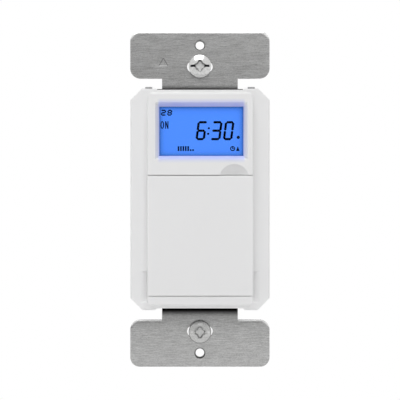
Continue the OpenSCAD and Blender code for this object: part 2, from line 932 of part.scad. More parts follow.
// One key: cap through the deck, rim behind it and a stem onto its switch
module key_cap(i) {
    size = key_size(i);
    front = i == reset_index ? deck_front + reset_sunk : deck_front - key_proud;
    color(i == reset_index ? "gray" : "lightgray")
        translate([key_spots[i][0], 0, key_spots[i][1]]) {
            slab(front, key_rim_front + eps)
                key_outline(i, size);
            slab(key_rim_front, key_rim_rear)
                key_outline(i, size + 2 * key_rim * [1, 1]);
            rod_y(0, 0, key_rim_rear - eps, plunger_front, stem_r);
        }
}

// Plunger of one key's switch
module plunger(i) {
    color("black")
        rod_y(key_spots[i][0], key_spots[i][1], plunger_front, plunger_rear, plunger_r);
}

module key_switches() {
    bore_rear = plunger_rear + key_travel + 0.1;
    color("dimgray")
        for (p = key_spots)
            difference() {
                translate([p[0], 0, p[1]])
                    block([-switch_w / 2, switch_w / 2], [switch_front, board_front],
                        [-switch_w / 2, switch_w / 2]);
                rod_y(p[0], p[1], switch_front - 1, bore_rear, plunger_bore_r);
            }
}

module control_board() {
    color("darkgreen")
        difference() {
            block([-control_w / 2, control_w / 2], [board_front, board_rear], [control_foot, control_top]);
            for (p = post_spots)
                rod_y(p[0], p[1], board_front - 1, board_rear + 1, stake_r + latch_clear);
        }
}

// Controller: flat package with a row of leads on each side
module controller_chip() {
    chip_w = 10;
    chip_t = 1.4;
    lead_w = 0.4;
    lead_l = 0.9;
    lead_t = 0.3;
    lead_pitch = 1;
    lead_count = 9;
    color("black")
        translate([chip_spot[0], board_rear, chip_spot[1]]) {
            block([-chip_w / 2, chip_w / 2], [0.1, chip_t], [-chip_w / 2, chip_w / 2]);
            for (a = [0, 90, 180, 270], n = [0 : lead_count - 1])
                rotate([0, a, 0])
                    translate([(n - (lead_count - 1) / 2) * lead_pitch, 0, chip_w / 2 - eps])
                        block([-lead_w / 2, lead_w / 2], [0, lead_t], [0, lead_l]);
        }
}

module quartz_crystal() {
    can_r = 1;
    can_l = 6;
    color("silver")
        translate([crystal_spot[0], board_rear + can_r + lie_clear, crystal_spot[1]])
            cylinder(h = can_l, r = can_r);
}

module backup_cell() {
    cell_front = board_rear + cell_seat;
    color("silver")
        rod_y(cell_spot[0], cell_spot[1], cell_front, cell_front + cell_t, cell_r);
}

// Clip: a pad under the cell and a sprung bridge over it
module cell_clip() {
    half = cell_r + seat_clear;
    leg_t = 0.8;
    bridge_h = 4;
    over = board_rear + cell_seat + cell_t;
    color("lightgray")
        translate([cell_spot[0], 0, cell_spot[1]]) {
            rod_y(0, 0, board_rear, board_rear + cell_seat, cell_r - 1.2);
            block([-half - leg_t, half + leg_t], [board_rear, board_rear + cell_seat / 2],
                [-bridge_h / 2, bridge_h / 2]);
            block([-half - leg_t, half + leg_t], [over, over + leg_t / 2], [-bridge_h / 2, bridge_h / 2]);
            for (sx = [-1, 1])
                translate([sx * (half + leg_t / 2), 0, 0])
                    block([-leg_t / 2, leg_t / 2], [board_rear, over + leg_t / 2],
                        [-bridge_h / 2, bridge_h / 2]);
        }
}

// Plastic block of the link between the boards
module link_block(y0, y1) {
    length = link_pins * link_pitch;
    translate([link_spot[0], 0, link_spot[1]])
        block([-length / 2, length / 2], [y0, y1], [-link_w / 2, link_w / 2]);
}

module link_rods(y0, y1, w) {
    for (n = [0 : link_pins - 1])
        translate([link_spot[0] + (n - (link_pins - 1) / 2) * link_pitch, 0, link_spot[1]])
            block([-w / 2, w / 2], [y0, y1], [-w / 2, w / 2]);
}

module pin_header() {
    color("black") {
        link_block(board_rear, link_split);
        link_rods(link_split - eps, power_front - 1, link_pin_w);
    }
}

module header_socket() {
    color("black")
        difference() {
            link_block(link_split, power_front);
            link_rods(link_split - 1, power_front - 0.8, link_pin_w + 2 * latch_clear);
        }
}

module power_board() {
    color("darkgreen")
        difference() {
            block([-power_w / 2, power_w / 2], [power_front, power_rear], [-power_l / 2, power_l / 2]);
            for (p = case_post_spots)
                rod_y(p[0], p[1], power_front - 1, power_rear + 1, board_screw_d / 2 + thread_clear);
        }
}

module board_screws() {
    color("silver")
        for (p = case_post_spots)
            translate([p[0], power_front, p[1]])
                domed_screw(board_screw_d, board_screw_l, board_head_d, board_head_h);
}

module relay() {
    corner_r = 0.8;
    edge_r = 0.6;
    color("royalblue")
        intersection() {
            slab(power_rear, power_rear + relay_h)
                rounded_rect(relay_w, relay_l, corner_r);
            mirror([0, 1, 0])
                along_x(-relay_w, relay_w)
                    rounded_front(relay_l, -power_rear - relay_h, -power_rear, edge_r);
        }
}

module film_capacitor() {
    film_w = 17;
    film_h = 12;
    corner_r = 0.6;
    color("gold")
        slab(power_rear, power_rear + film_h)
            translate([0, film_z])
                rounded_rect(film_w, film_t, corner_r);
}

module electrolytic_capacitors() {
    can_l = 11.5;
    groove_d = 0.5;
    groove_y = power_rear + 1.2;
    groove_w = 0.8;
    color("black")
        for (sx = [-1, 1])
            translate([sx * can_x, 0, can_z])
                difference() {
                    rod_y(0, 0, power_rear, power_rear + can_l, can_r);
                    difference() {
                        rod_y(0, 0, groove_y, groove_y + groove_w, can_r + 1);
                        rod_y(0, 0, groove_y - 1, groove_y + groove_w + 1, can_r - groove_d);
                    }
                }
}

module varistor() {
    disc_r = 4.4;
    lead_r = 0.4;
    lead_x = 2.5;
    lead_l = 0.6;
    disc_y = power_rear + disc_r + lead_l;
    color("orange")
        translate([0, 0, varistor_z]) {
            translate([0, disc_y, -varistor_t / 2])
                cylinder(h = varistor_t, r = disc_r);
            for (sx = [-1, 1])
                rod_y(sx * lead_x, 0, power_rear, disc_y, lead_r);
        }
}

module diodes() {
    diode_r = 1.3;
    color("black")
        for (n = [0 : 3])
            translate([(n - 1.5) * diode_pitch, power_rear + diode_r + lie_clear, diode_z - diode_l / 2])
                cylinder(h = diode_l, r = diode_r);
}

module fuse_resistor() {
    barrel_l = 9;
    color("tan")
        rod_x(power_rear + fuse_r + lie_clear, fuse_z, -barrel_l / 2, barrel_l / 2, fuse_r);
}

// Terminal plate on the floor of a wire channel, with a tail onto the power board
module terminal_plate(side, z) {
    mirror([side < 0 ? 1 : 0, 0, 0])
        translate([0, 0, z])
            difference() {
                union() {
                    block([channel_floor, channel_floor + terminal_t], [power_rear, terminal_end],
                        [-terminal_w / 2, terminal_w / 2]);
                    block([power_w / 2 - tail_in, channel_floor + eps],
                        [power_rear, power_rear + terminal_t], [-tail_w / 2, tail_w / 2]);
                }
                rod_x(terminal_y, 0, channel_floor - terminal_t, channel_floor + 2 * terminal_t,
                    terminal_hole_r);
            }
}

module line_terminal() {
    color("gold")
        terminal_plate(1, channel_z);
}

module load_terminal() {
    color("gold")
        terminal_plate(1, -channel_z);
}

module neutral_terminal() {
    color("silver")
        terminal_plate(-1, channel_z);
}

// Square plate under a terminal screw's head
module wire_clamp(side, z) {
    mirror([side < 0 ? 1 : 0, 0, 0])
        translate([0, 0, z])
            difference() {
                block([clamp_front, clamp_front + clamp_t],
                    [terminal_y - clamp_w / 2, terminal_y + clamp_w / 2], [-clamp_w / 2, clamp_w / 2]);
                rod_x(terminal_y, 0, clamp_front - 1, clamp_front + clamp_t + 1, terminal_hole_r + 0.1);
            }
}

module wire_clamps() {
    color("gray")
        for (side = [-1, 1], sz = [-1, 1])
            wire_clamp(side, sz * channel_z);
}

// Terminal screw, pointing into the case's side
module terminal_screw(side, z) {
    seat = clamp_front + clamp_t;
    mirror([side < 0 ? 1 : 0, 0, 0])
        translate([seat, terminal_y, z])
            rotate([0, 0, 90])
                domed_screw(terminal_screw_d, seat - terminal_screw_end, terminal_head_d, terminal_head_h);
}

module brass_terminal_screws() {
    color("goldenrod")
        for (sz = [-1, 1])
            terminal_screw(1, sz * channel_z);
}

module neutral_screw() {
    color("silver")
        terminal_screw(-1, channel_z);
}

module earth_screw() {
    color("green")
        terminal_screw(-1, -channel_z);
}

// Outer form of the rear case, its back edges rounded
module case_block() {
    intersection() {
        slab(0, case_depth)
            rounded_rect(case_w, case_l, case_r);
        mirror([0, 1, 0])
            along_z(-case_l, case_l)
                rounded_front(case_w, -case_depth, 0, case_back_r);
        mirror([0, 1, 0])
            along_x(-case_w, case_w)
                rounded_front(case_l, -case_depth, 0, case_back_r);
    }
}

// One latch arm of the rear case, hooked behind the cover's edge
module latch(sx, sz, proud) {
    edge = flange_l / 2;
    under = edge - latch_t + 2 * latch_clear;
    scale_z = sz > 0 ? 0 : 1;
    mirror([0, 0, scale_z])
        translate([sx * latch_x, 0, 0]) {
            block([-latch_w / 2, latch_w / 2], [latch_front, latch_root], [under, edge + proud]);
            block([-latch_w / 2, latch_w / 2], [latch_front, latch_front + latch_tip],
                [under - latch_hook, under + eps]);
            block([-latch_w / 2, latch_w / 2], [latch_root / 2, latch_root],
                [case_l / 2 - case_wall / 2, under + eps]);
        }
}

// Solid round one wire channel, before the channel is cut
module channel_block(side, z) {
    half = channel_w / 2 + channel_wall;
    mirror([side < 0 ? 1 : 0, 0, 0])
        block([channel_floor - channel_wall, case_half], [channel_front - channel_wall, case_depth],
            [z - half, z + half]);
}

// Cut for one wire channel with its slots and the screw's relief
module channel_cut(side, z) {
    half = channel_w / 2;
    slot_half = tail_w / 2 + latch_clear;
    lug_half = lug_w / 2 + slide_clear;
    mirror([side < 0 ? 1 : 0, 0, 0])
        translate([0, 0, z]) {
            block([channel_floor, case_half + 1], [channel_front, case_depth + 1], [-half, half]);
            rod_x(terminal_y, 0, terminal_screw_end - 0.2, channel_floor + 1, terminal_relief_r);
            if (side < 0 && z < 0) {
                block([channel_floor - slide_clear, channel_floor + strap_t + slide_clear],
                    [channel_front - 2 * channel_wall, channel_front + 1], [-lug_half, lug_half]);
            } else {
                block([channel_floor - 2 * channel_wall, channel_floor + 1],
                    [power_rear - latch_clear, power_rear + terminal_t + latch_clear],
                    [-slot_half, slot_half]);
            }
        }
}

// Slots through the case's top and bottom walls
module case_vents() {
    for (n = [0 : vent_count - 1], sz = [-1, 1])
        translate([(n - (vent_count - 1) / 2) * vent_pitch, power_rear + 1.5, sz * case_l / 2])
            block([-vent_w / 2, vent_w / 2], [0, vent_l], [-2 * case_wall, 2 * case_wall]);
}

// Sunk panel and strip gauge in the case's back
module case_marks() {
    slab(case_depth - panel_d, case_depth + 1) {
        rounded_rect(panel_w, panel_l, panel_r);
        translate([0, -panel_l / 2 - gauge_drop])
            rounded_rect(gauge_l, gauge_w, gauge_r);
    }
}

module rear_case() {
    color("dimgray")
        difference() {
            union() {
                difference() {
                    case_block();
                    slab(-1, case_inner_rear)
                        rounded_rect(case_w - 2 * case_wall, case_l - 2 * case_wall, case_r - case_wall);
                }
                intersection() {
                    case_block();
                    for (side = [-1, 1], sz = [-1, 1])
                        channel_block(side, sz * channel_z);
                }
                for (sx = [-1, 1]) {
                    latch(sx, 1, latch_proud_top);
                    latch(sx, -1, latch_proud_foot);
                    for (sz = [-1, 1])
                        rod_y(sx * peg_x, sz * peg_z, 0, peg_boss_l, peg_boss_r);
                }
                for (p = case_post_spots)
                    rod_y(p[0], p[1], power_rear, case_inner_rear + eps, case_post_r);
            }
            for (side = [-1, 1], sz = [-1, 1])
                channel_cut(side, sz * channel_z);
            for (sx = [-1, 1], sz = [-1, 1])
                rod_y(sx * peg_x, sz * peg_z, -1, peg_l - strap_t + 0.3, peg_r + latch_clear);
            for (p = case_post_spots)
                rod_y(p[0], p[1], power_rear - 1, power_rear + board_screw_l,
                    board_screw_d / 2 + thread_clear);
            case_vents();
            case_marks();
        }
}

mounting_strap();
box_screws();
screw_retainers();
front_cover();
display_lens();
display_front_glass();
display_rear_glass();
display_frame();
light_guide();
backlight_lamps();
contact_strip();
lid();
key_cap(0);  // day_key
key_cap(1);  // hour_key
key_cap(2);  // minute_key
key_cap(3);  // program_key
key_cap(4);  // clock_key
key_cap(5);  // mode_key
key_cap(6);  // on_off_key
key_cap(7);  // reset_button
plunger(0);  // day_plunger
plunger(1);  // hour_plunger
plunger(2);  // minute_plunger
plunger(3);  // program_plunger
plunger(4);  // clock_plunger
plunger(5);  // mode_plunger
plunger(6);  // on_off_plunger
plunger(7);  // reset_plunger
key_switches();
control_board();
controller_chip();
quartz_crystal();
backup_cell();
cell_clip();
pin_header();
header_socket();
power_board();
board_screws();
relay();
film_capacitor();
electrolytic_capacitors();
varistor();
diodes();
fuse_resistor();
line_terminal();
load_terminal();
neutral_terminal();
wire_clamps();
brass_terminal_screws();
neutral_screw();
earth_screw();
rear_case();
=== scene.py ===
import math

import bmesh
import bpy
from mathutils import Matrix, Vector


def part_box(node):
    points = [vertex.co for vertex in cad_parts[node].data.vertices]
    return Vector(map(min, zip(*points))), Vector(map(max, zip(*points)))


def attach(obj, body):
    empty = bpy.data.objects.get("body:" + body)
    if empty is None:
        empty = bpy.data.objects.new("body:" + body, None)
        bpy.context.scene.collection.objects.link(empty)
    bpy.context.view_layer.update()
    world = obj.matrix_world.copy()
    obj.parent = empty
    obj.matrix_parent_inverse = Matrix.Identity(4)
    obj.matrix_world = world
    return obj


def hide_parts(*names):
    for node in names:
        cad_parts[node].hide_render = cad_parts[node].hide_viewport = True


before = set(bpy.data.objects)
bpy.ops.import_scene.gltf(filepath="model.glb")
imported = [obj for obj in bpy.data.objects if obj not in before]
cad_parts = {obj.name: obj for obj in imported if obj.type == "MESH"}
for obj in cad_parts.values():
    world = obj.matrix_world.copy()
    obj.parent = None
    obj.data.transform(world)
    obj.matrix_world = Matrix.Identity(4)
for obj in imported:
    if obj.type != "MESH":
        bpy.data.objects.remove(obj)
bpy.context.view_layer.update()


# Mounting strap: stamped sheet steel, zinc plated and brushed across its width, with two ears and
# two small holes tapped for a wall plate's screws. A plain triangle stamped into the upper ear shows
# which end goes up; it is drawn as flat strokes, its sides painted dark as shade and its foot painted
# light as a highlight. The plating is painted darker as shade next to the cover's ends and round the
# tapped holes, and painted lighter as a highlight along the ears' rolled upper edges.
MM = 0.001
STRAP_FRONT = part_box("mounting_strap")[0].y / MM
EAR_HALF_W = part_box("mounting_strap")[1].x / MM
EAR_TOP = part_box("mounting_strap")[1].z / MM
EAR_H = 14.7
EAR_R = 3.0
LOWER_EAR_TOP = EAR_H - EAR_TOP
NECK_HALF_W = 12.0
TOP_ROLL_W = 0.75
SHOULDER_ROLL_W = 1.0
ROLL_DEPTH = 0.23
# How much lighter the rolled edges are painted, as a highlight.
ROLL_HIGHLIGHT = 0.4
ROLL_BURNISH = 0.5
COVER_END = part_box("front_cover")[1].z / MM
# Where the painted shade next to the cover's ends fades out, in mm, on the strap's front only.
UPPER_SHADE_FADE = COVER_END - 0.6, COVER_END + 1.5
LOWER_SHADE_FADE = -COVER_END - 0.1, -COVER_END - 2.65
LOWER_SHADE_TAIL = -COVER_END - 1.85, -COVER_END - 7.35
REAR_SHADE_FADE = -0.3, 0.2
HOLE_Z = 96.84 / 2
# Painted shade round the tapped holes: where its ring ends and how far it reaches up and down, in mm.
HOLE_SHADE_EDGE = 1.62, 1.85
HOLE_SHADE_REACH = 1.5
NOISE_SPAN = 0.3, 0.7


def fill(look, node, inputs):
    """Sets a node's inputs to fixed values, or links them to what other nodes work out."""
    for socket, value in inputs.items():
        if isinstance(value, bpy.types.NodeSocket):
            look.node_tree.links.new(value, node.inputs[socket])
        else:
            node.inputs[socket].default_value = value


def add_node(look, kind, inputs, **settings):
    """Adds a node of a kind, with its settings and inputs."""
    node = look.node_tree.nodes.new("ShaderNode" + kind)
    for name, setting in settings.items():
        setattr(node, name, setting)
    fill(look, node, inputs)
    return node


def paint(look, inputs):
    """Sets or links inputs of a material's surface."""
    fill(look, look.node_tree.nodes["Principled BSDF"], inputs)


def new_material(name, colour, roughness=0.5, metallic=0.0):
    """A material to build on."""
    look = bpy.data.materials.new(name)
    look.use_nodes = True
    paint(look, {"Base Color": (*colour, 1), "Roughness": roughness, "Metallic": metallic})
    return look


def grain(look, size, detail=3.0):
    """Noise with grains of a size in mm, the same all ways or given along x, y and z."""
    lengths = size if isinstance(size, tuple) else (size, size, size)
    place = add_node(look, "TexCoord", {}).outputs["Object"]
    scale = [1 / (length * MM) for length in lengths]
    stretched = add_node(look, "Mapping", {"Vector": place, "Scale": scale}).outputs["Vector"]
    noise = add_node(look, "TexNoise", {"Vector": stretched, "Scale": 1.0, "Detail": detail})
    return noise.outputs["Fac"]


def tint(look, value, dark, light, span=NOISE_SPAN):
    """Colours that run from dark to light as a value crosses a span."""
    colours = add_node(look, "ValToRGB", {"Fac": value})
    for stop, position, colour in zip(colours.color_ramp.elements, span, (dark, light)):
        stop.position = position
        stop.color = (*colour, 1)
    return colours.outputs["Color"]


def scaled(look, colour, strength):
    """A colour made lighter or darker by a strength."""
    result = add_node(look, "VectorMath", {0: colour, "Scale": strength}, operation="SCALE")
    return result.outputs["Vector"]


def sums(look, operation, first, *others):
    """A number worked out in a material, taking in the other values one by one."""
    for second in others or (0.0,):
        first = add_node(look, "Math", {0: first, 1: second}, operation=operation).outputs["Value"]
    return first


def away(look, x, z):
    """How far a point lies from where x and z are both nought."""
    squares = [sums(look, "POWER", value, 2.0) for value in (x, z)]
    return sums(look, "SQRT", sums(look, "ADD", *squares))


def along(look, axis):
    """A point's place along one axis in mm."""
    place = add_node(look, "TexCoord", {}).outputs["Object"]
    split = add_node(look, "SeparateXYZ", {"Vector": place})
    return sums(look, "MULTIPLY", split.outputs[axis], 1 / MM)


def ramp(look, value, start, end, low=0.0, high=1.0, run="SMOOTHSTEP"):
    """Runs from low to high as a value runs from start to end, smoothly or LINEAR."""
    limits = {"From Min": start, "From Max": end, "To Min": low, "To Max": high}
    curve = add_node(look, "MapRange", {"Value": value, **limits}, interpolation_type=run)
    return curve.outputs["Result"]


def relief(look, value, height, sunk=False):
    """Lets a value from 0 to 1 raise or sink the surface by up to a height in mm, over any relief that
    the surface already has."""
    bump = add_node(look, "Bump", {"Distance": height * MM, "Height": value}, invert=sunk)
    for link in look.node_tree.nodes["Principled BSDF"].inputs["Normal"].links:
        fill(look, bump, {"Normal": link.from_socket})
    paint(look, {"Normal": bump.outputs["Normal"]})


def rolled_edge(look, wide, up, edge_z, width):
    """How far the face of an ear rolls back towards its upward edge and round the edge's corners."""
    past_side = sums(look, "MAXIMUM", sums(look, "SUBTRACT", wide, EAR_HALF_W - EAR_R), 0.0)
    past_top = sums(look, "MAXIMUM", sums(look, "SUBTRACT", up, edge_z - EAR_R), 0.0)
    reach = away(look, past_side, past_top)
    roll = sums(look, "POWER", ramp(look, reach, EAR_R - width, EAR_R, run="LINEAR"), 2.0)
    return sums(look, "MULTIPLY", roll, ramp(look, past_top, EAR_R * 0.1, EAR_R * 0.6))


def dress(look, *names):
    """Gives CAD nodes a material."""
    for name in names:
        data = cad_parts[name].data
        data.materials.clear()
        data.materials.append(look)


def soften(width, *names):
    """Breaks the sharp edges of CAD nodes by a width in mm."""
    for name in names:
        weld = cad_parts[name].modifiers.new("weld", "WELD")
        weld.merge_threshold = 0.001 * MM
        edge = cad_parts[name].modifiers.new("edge", "BEVEL")
        edge.width = width * MM
        edge.segments = 2
        edge.limit_method = "ANGLE"
        edge.angle_limit = math.radians(40)


strap_steel = new_material("strap_steel", (0.36, 0.36, 0.355), 0.38, 1.0)
strap_x = along(strap_steel, "X")
strap_z = along(strap_steel, "Z")
strap_wide = sums(strap_steel, "ABSOLUTE", strap_x)
long_streaks = grain(strap_steel, (2.4, 2.4, 0.1), 1.0)
short_streaks = grain(strap_steel, (0.35, 0.35, 0.1), 1.0)
brushing = sums(strap_steel, "MULTIPLY", sums(strap_steel, "ADD", long_streaks, short_streaks), 0.5)

# Painted shade: the plating darkens towards the cover's ends on the strap's front, with a long faint
# tail below the lower end.
upper_unshaded = ramp(strap_steel, strap_z, *UPPER_SHADE_FADE)
lower_unshaded = sums(strap_steel, "MULTIPLY", ramp(strap_steel, strap_z, *LOWER_SHADE_FADE),
                   ramp(strap_steel, strap_z, *LOWER_SHADE_TAIL, low=0.78))
rear_unshaded = ramp(strap_steel, along(strap_steel, "Y"), *REAR_SHADE_FADE)
strap_unshaded = sums(strap_steel, "MAXIMUM", upper_unshaded, lower_unshaded, rear_unshaded)

# Painted shade round each tapped hole, heavier below the hole's middle than above it.
hole_off = sums(strap_steel, "SUBTRACT", sums(strap_steel, "ABSOLUTE", strap_z), HOLE_Z)
hole_up = sums(strap_steel, "MULTIPLY", hole_off, sums(strap_steel, "SIGN", strap_z))
hole_way = away(strap_steel, strap_x, hole_off)
hole_shade = sums(strap_steel, "MULTIPLY", ramp(strap_steel, hole_way, *HOLE_SHADE_EDGE, low=1.0, high=0.0),
           ramp(strap_steel, hole_up, -HOLE_SHADE_REACH, HOLE_SHADE_REACH, low=0.9, high=0.45))
hole_unshaded = sums(strap_steel, "SUBTRACT", 1.0, hole_shade)

top_roll = rolled_edge(strap_steel, strap_wide, strap_z, EAR_TOP, TOP_ROLL_W)
shoulder_roll = sums(strap_steel, "MULTIPLY",
                     rolled_edge(strap_steel, strap_wide, strap_z, LOWER_EAR_TOP, SHOULDER_ROLL_W),
                     ramp(strap_steel, strap_wide, NECK_HALF_W - 0.1, NECK_HALF_W + 0.1),
                     sums(strap_steel, "LESS_THAN", strap_z, LOWER_EAR_TOP + 0.1))
edge_roll = sums(strap_steel, "MAXIMUM", top_roll, shoulder_roll)
# Painted highlight: the colour is made lighter along the rolled edges.
edge_highlight = sums(strap_steel, "ADD", sums(strap_steel, "MULTIPLY", edge_roll, ROLL_HIGHLIGHT), 1.0)
burnish = sums(strap_steel, "SUBTRACT", 1.0, sums(strap_steel, "MULTIPLY", edge_roll, ROLL_BURNISH))

# The painted shade and painted highlight together scale the brushed colour.
strap_painted_light = sums(strap_steel, "MULTIPLY", strap_unshaded, hole_unshaded, edge_highlight)
brushed_colour = tint(strap_steel, brushing, (0.38, 0.38, 0.375), (0.86, 0.86, 0.855))
sheen = ramp(strap_steel, grain(strap_steel, (9, 9, 2)), *NOISE_SPAN, low=0.375, high=0.41)
paint(strap_steel, {
    "Base Color": scaled(strap_steel, brushed_colour, strap_painted_light),
    "Roughness": sums(strap_steel, "MULTIPLY", sheen, burnish),
})
relief(strap_steel, brushing, 0.003)
relief(strap_steel, edge_roll, ROLL_DEPTH, sunk=True)
dress(strap_steel, "mounting_strap")
soften(0.3, "mounting_strap")

STAMP_FEET = (-12.9, 41.9), (-10.05, 41.9)
STAMP_TOP = (-11.5, 44.3)
STAMP_W = 0.24
STAMP_DEPTH = STRAP_FRONT - 0.02, STRAP_FRONT + 0.1


def grained(name, colour, size, roughness, depth=0.0, shades=None, metallic=0.0, detail=3.0):
    """A material with grains of a size in mm. They run its roughness from a low to a high value, raise
    it by a depth in mm and run its colour between two shades, where these are given."""
    low, high = roughness
    look = new_material(name, colour, (low + high) / 2, metallic)
    skin = grain(look, size, detail)
    if high > low:
        paint(look, {"Roughness": ramp(look, skin, *NOISE_SPAN, low, high, "LINEAR")})
    if depth:
        relief(look, skin, depth)
    if shades:
        paint(look, {"Base Color": tint(look, skin, *shades)})
    return look


def new_piece(name, shape, looks, body):
    """Makes a shape drawn in mm into a piece with these materials that rides on a body."""
    bmesh.ops.scale(shape, vec=(MM, MM, MM), verts=shape.verts)
    bmesh.ops.recalc_face_normals(shape, faces=shape.faces)
    for face in shape.faces:
        face.smooth = True
    data = bpy.data.meshes.new(name)
    shape.to_mesh(data)
    shape.free()
    data.set_sharp_from_angle(angle=math.radians(35))
    for look in looks:
        data.materials.append(look)
    piece = bpy.data.objects.new(name, data)
    bpy.context.scene.collection.objects.link(piece)
    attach(piece, body)
    return piece


def plate(shape, outline, depth):
    """Adds a flat plate with an (x, z) outline. Its depth gives the y of its front and its rear."""
    front, rear = depth
    near = [shape.verts.new((x, front, z)) for x, z in outline]
    far = [shape.verts.new((x, rear, z)) for x, z in outline]
    shape.faces.new(near)
    shape.faces.new(far[::-1])
    for i in range(len(outline)):
        j = (i + 1) % len(outline)
        shape.faces.new((near[i], far[i], far[j], near[j]))


def bar(shape, start, end, width, depth, point=0.0):
    """Adds a flat bar between two (x, z) points, its ends drawn out to points."""
    way = (Vector(end) - Vector(start)).normalized()
    side = Vector((-way.y, way.x)) * width / 2
    tip = way * point
    corners = [
        Vector(start) - side + tip, Vector(end) - side - tip, Vector(end),
        Vector(end) + side - tip, Vector(start) + side + tip, Vector(start),
    ]
    if point == 0:
        corners = [corners[0], corners[1], corners[3], corners[4]]
    plate(shape, [tuple(corner) for corner in corners], depth)


# The stamp's strokes are flat plates in the same steel: the sides painted dark as the groove's shade,
# the foot painted light as a highlight.
stamp_steel = grained("stamp_steel", (0.3, 0.3, 0.3), (1, 1, 0.2), (0.5, 0.5), metallic=1.0,
                      shades=((0.22, 0.22, 0.22), (0.36, 0.36, 0.36)))
stamp_painted_highlight = grained("stamp_painted_highlight", (0.8, 0.8, 0.8), (1, 1, 0.2), (0.4, 0.6), metallic=1.0)
stamp = bmesh.new()
for foot in STAMP_FEET:
    bar(stamp, foot, STAMP_TOP, STAMP_W, STAMP_DEPTH)
new_piece("upper_end_stamp", stamp, [stamp_steel], "housing")
stamp = bmesh.new()
bar(stamp, *STAMP_FEET, STAMP_W, STAMP_DEPTH)
new_piece("upper_end_stamp_foot", stamp, [stamp_painted_highlight], "housing")


def thread_ridge(shape, start, end, wall, crest, pitch, steps=24):
    """Adds a screw thread's ridge round the y axis, from its wall's radius to its crest's."""
    flanks = (wall, 0.05), (crest, 0.4), (crest, 0.5), (wall, 0.85)
    turns = (end - start) / pitch - 0.9
    rows = []
    for i in range(int(turns * steps) + 1):
        angle = 2 * math.pi * i / steps
        rows.append([
            shape.verts.new((radius * math.cos(angle), start + pitch * (i / steps + share),
                             radius * math.sin(angle)))
            for radius, share in flanks
        ])
    for here, there in zip(rows, rows[1:]):
        for j in range(len(flanks)):
            k = (j + 1) % len(flanks)
            shape.faces.new((here[j], here[k], there[k], there[j]))
    shape.faces.new(rows[0])
    shape.faces.new(rows[-1][::-1])


for end, centre in (("upper", HOLE_Z), ("lower", -HOLE_Z)):
    tapping = bmesh.new()
    thread_ridge(tapping, start=-0.85, end=0.1, wall=1.42, crest=1.36, pitch=0.4)
    bmesh.ops.translate(tapping, vec=(0, 0, centre), verts=tapping.verts)
    new_piece(end + "_hole_thread", tapping, [stamp_steel], "housing")


# Box screws: two plated steel machine screws with domed heads and a slot and cross drive. Each
# is held loosely in a slot of the strap by a fibre washer pressed over the neck behind it.
BOX_HEAD_D = 7.1
BOX_SCREW_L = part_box("box_screws")[1].y / MM - STRAP_FRONT
BOX_SCREW_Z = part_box("box_screws")[1].z / MM - BOX_HEAD_D / 2


def turn_angles(steps):
    """Angles evenly spaced round one turn."""
    return [2 * math.pi * i / steps for i in range(steps)]


def turned(shape, profile, steps=48):
    """Adds a turned solid round the y axis. The profile's (radius, y) ends lie on the axis."""
    rows = []
    for radius, y in profile:
        if radius == 0:
            rows.append([shape.verts.new((0, y, 0))] * steps)
        else:
            spots = [(radius * math.cos(a), y, radius * math.sin(a)) for a in turn_angles(steps)]
            rows.append([shape.verts.new(spot) for spot in spots])
    for here, there in zip(rows, rows[1:]):
        for i in range(steps):
            j = (i + 1) % steps
            corners = dict.fromkeys((here[i], here[j], there[j], there[i]))
            shape.faces.new(list(corners))


def tapered(outline, front, rear, foot):
    """A cutter with an (x, z) outline that narrows from its front to a share of it at its rear."""
    made = bmesh.new()
    near = [made.verts.new((x, front, z)) for x, z in outline]
    far = [made.verts.new((x * foot, rear, z * foot)) for x, z in outline]
    made.faces.new(near[::-1])
    made.faces.new(far)
    for i in range(len(outline)):
        j = (i + 1) % len(outline)
        made.faces.new((near[i], near[j], far[j], far[i]))
    return made


def star(half_w, half_h, arm_half, waist):
    """Outline of a four-armed star in (x, z)."""
    quarter = [(half_w, arm_half), (waist, waist), (arm_half, half_h)]
    outline = []
    for sx, sz in ((1, 1), (-1, 1), (-1, -1), (1, -1)):
        outline += [(sx * x, sz * z) for x, z in quarter[::sx * sz]]
    return outline


def carved(shape, cutters):
    """The shape with the cutters taken out of it."""
    solids = []
    for solid in (shape, *cutters):
        bmesh.ops.recalc_face_normals(solid, faces=solid.faces)
        data = bpy.data.meshes.new("blank")
        solid.to_mesh(data)
        solid.free()
        solids.append(bpy.data.objects.new("blank", data))
        bpy.context.scene.collection.objects.link(solids[-1])
    for tool in solids[1:]:
        cut = solids[0].modifiers.new("cut", "BOOLEAN")
        cut.object = tool
        cut.solver = "EXACT"
    bpy.context.view_layer.update()
    made = bmesh.new()
    made.from_object(solids[0], bpy.context.evaluated_depsgraph_get())
    for solid in solids:
        bpy.data.objects.remove(solid)
    return made


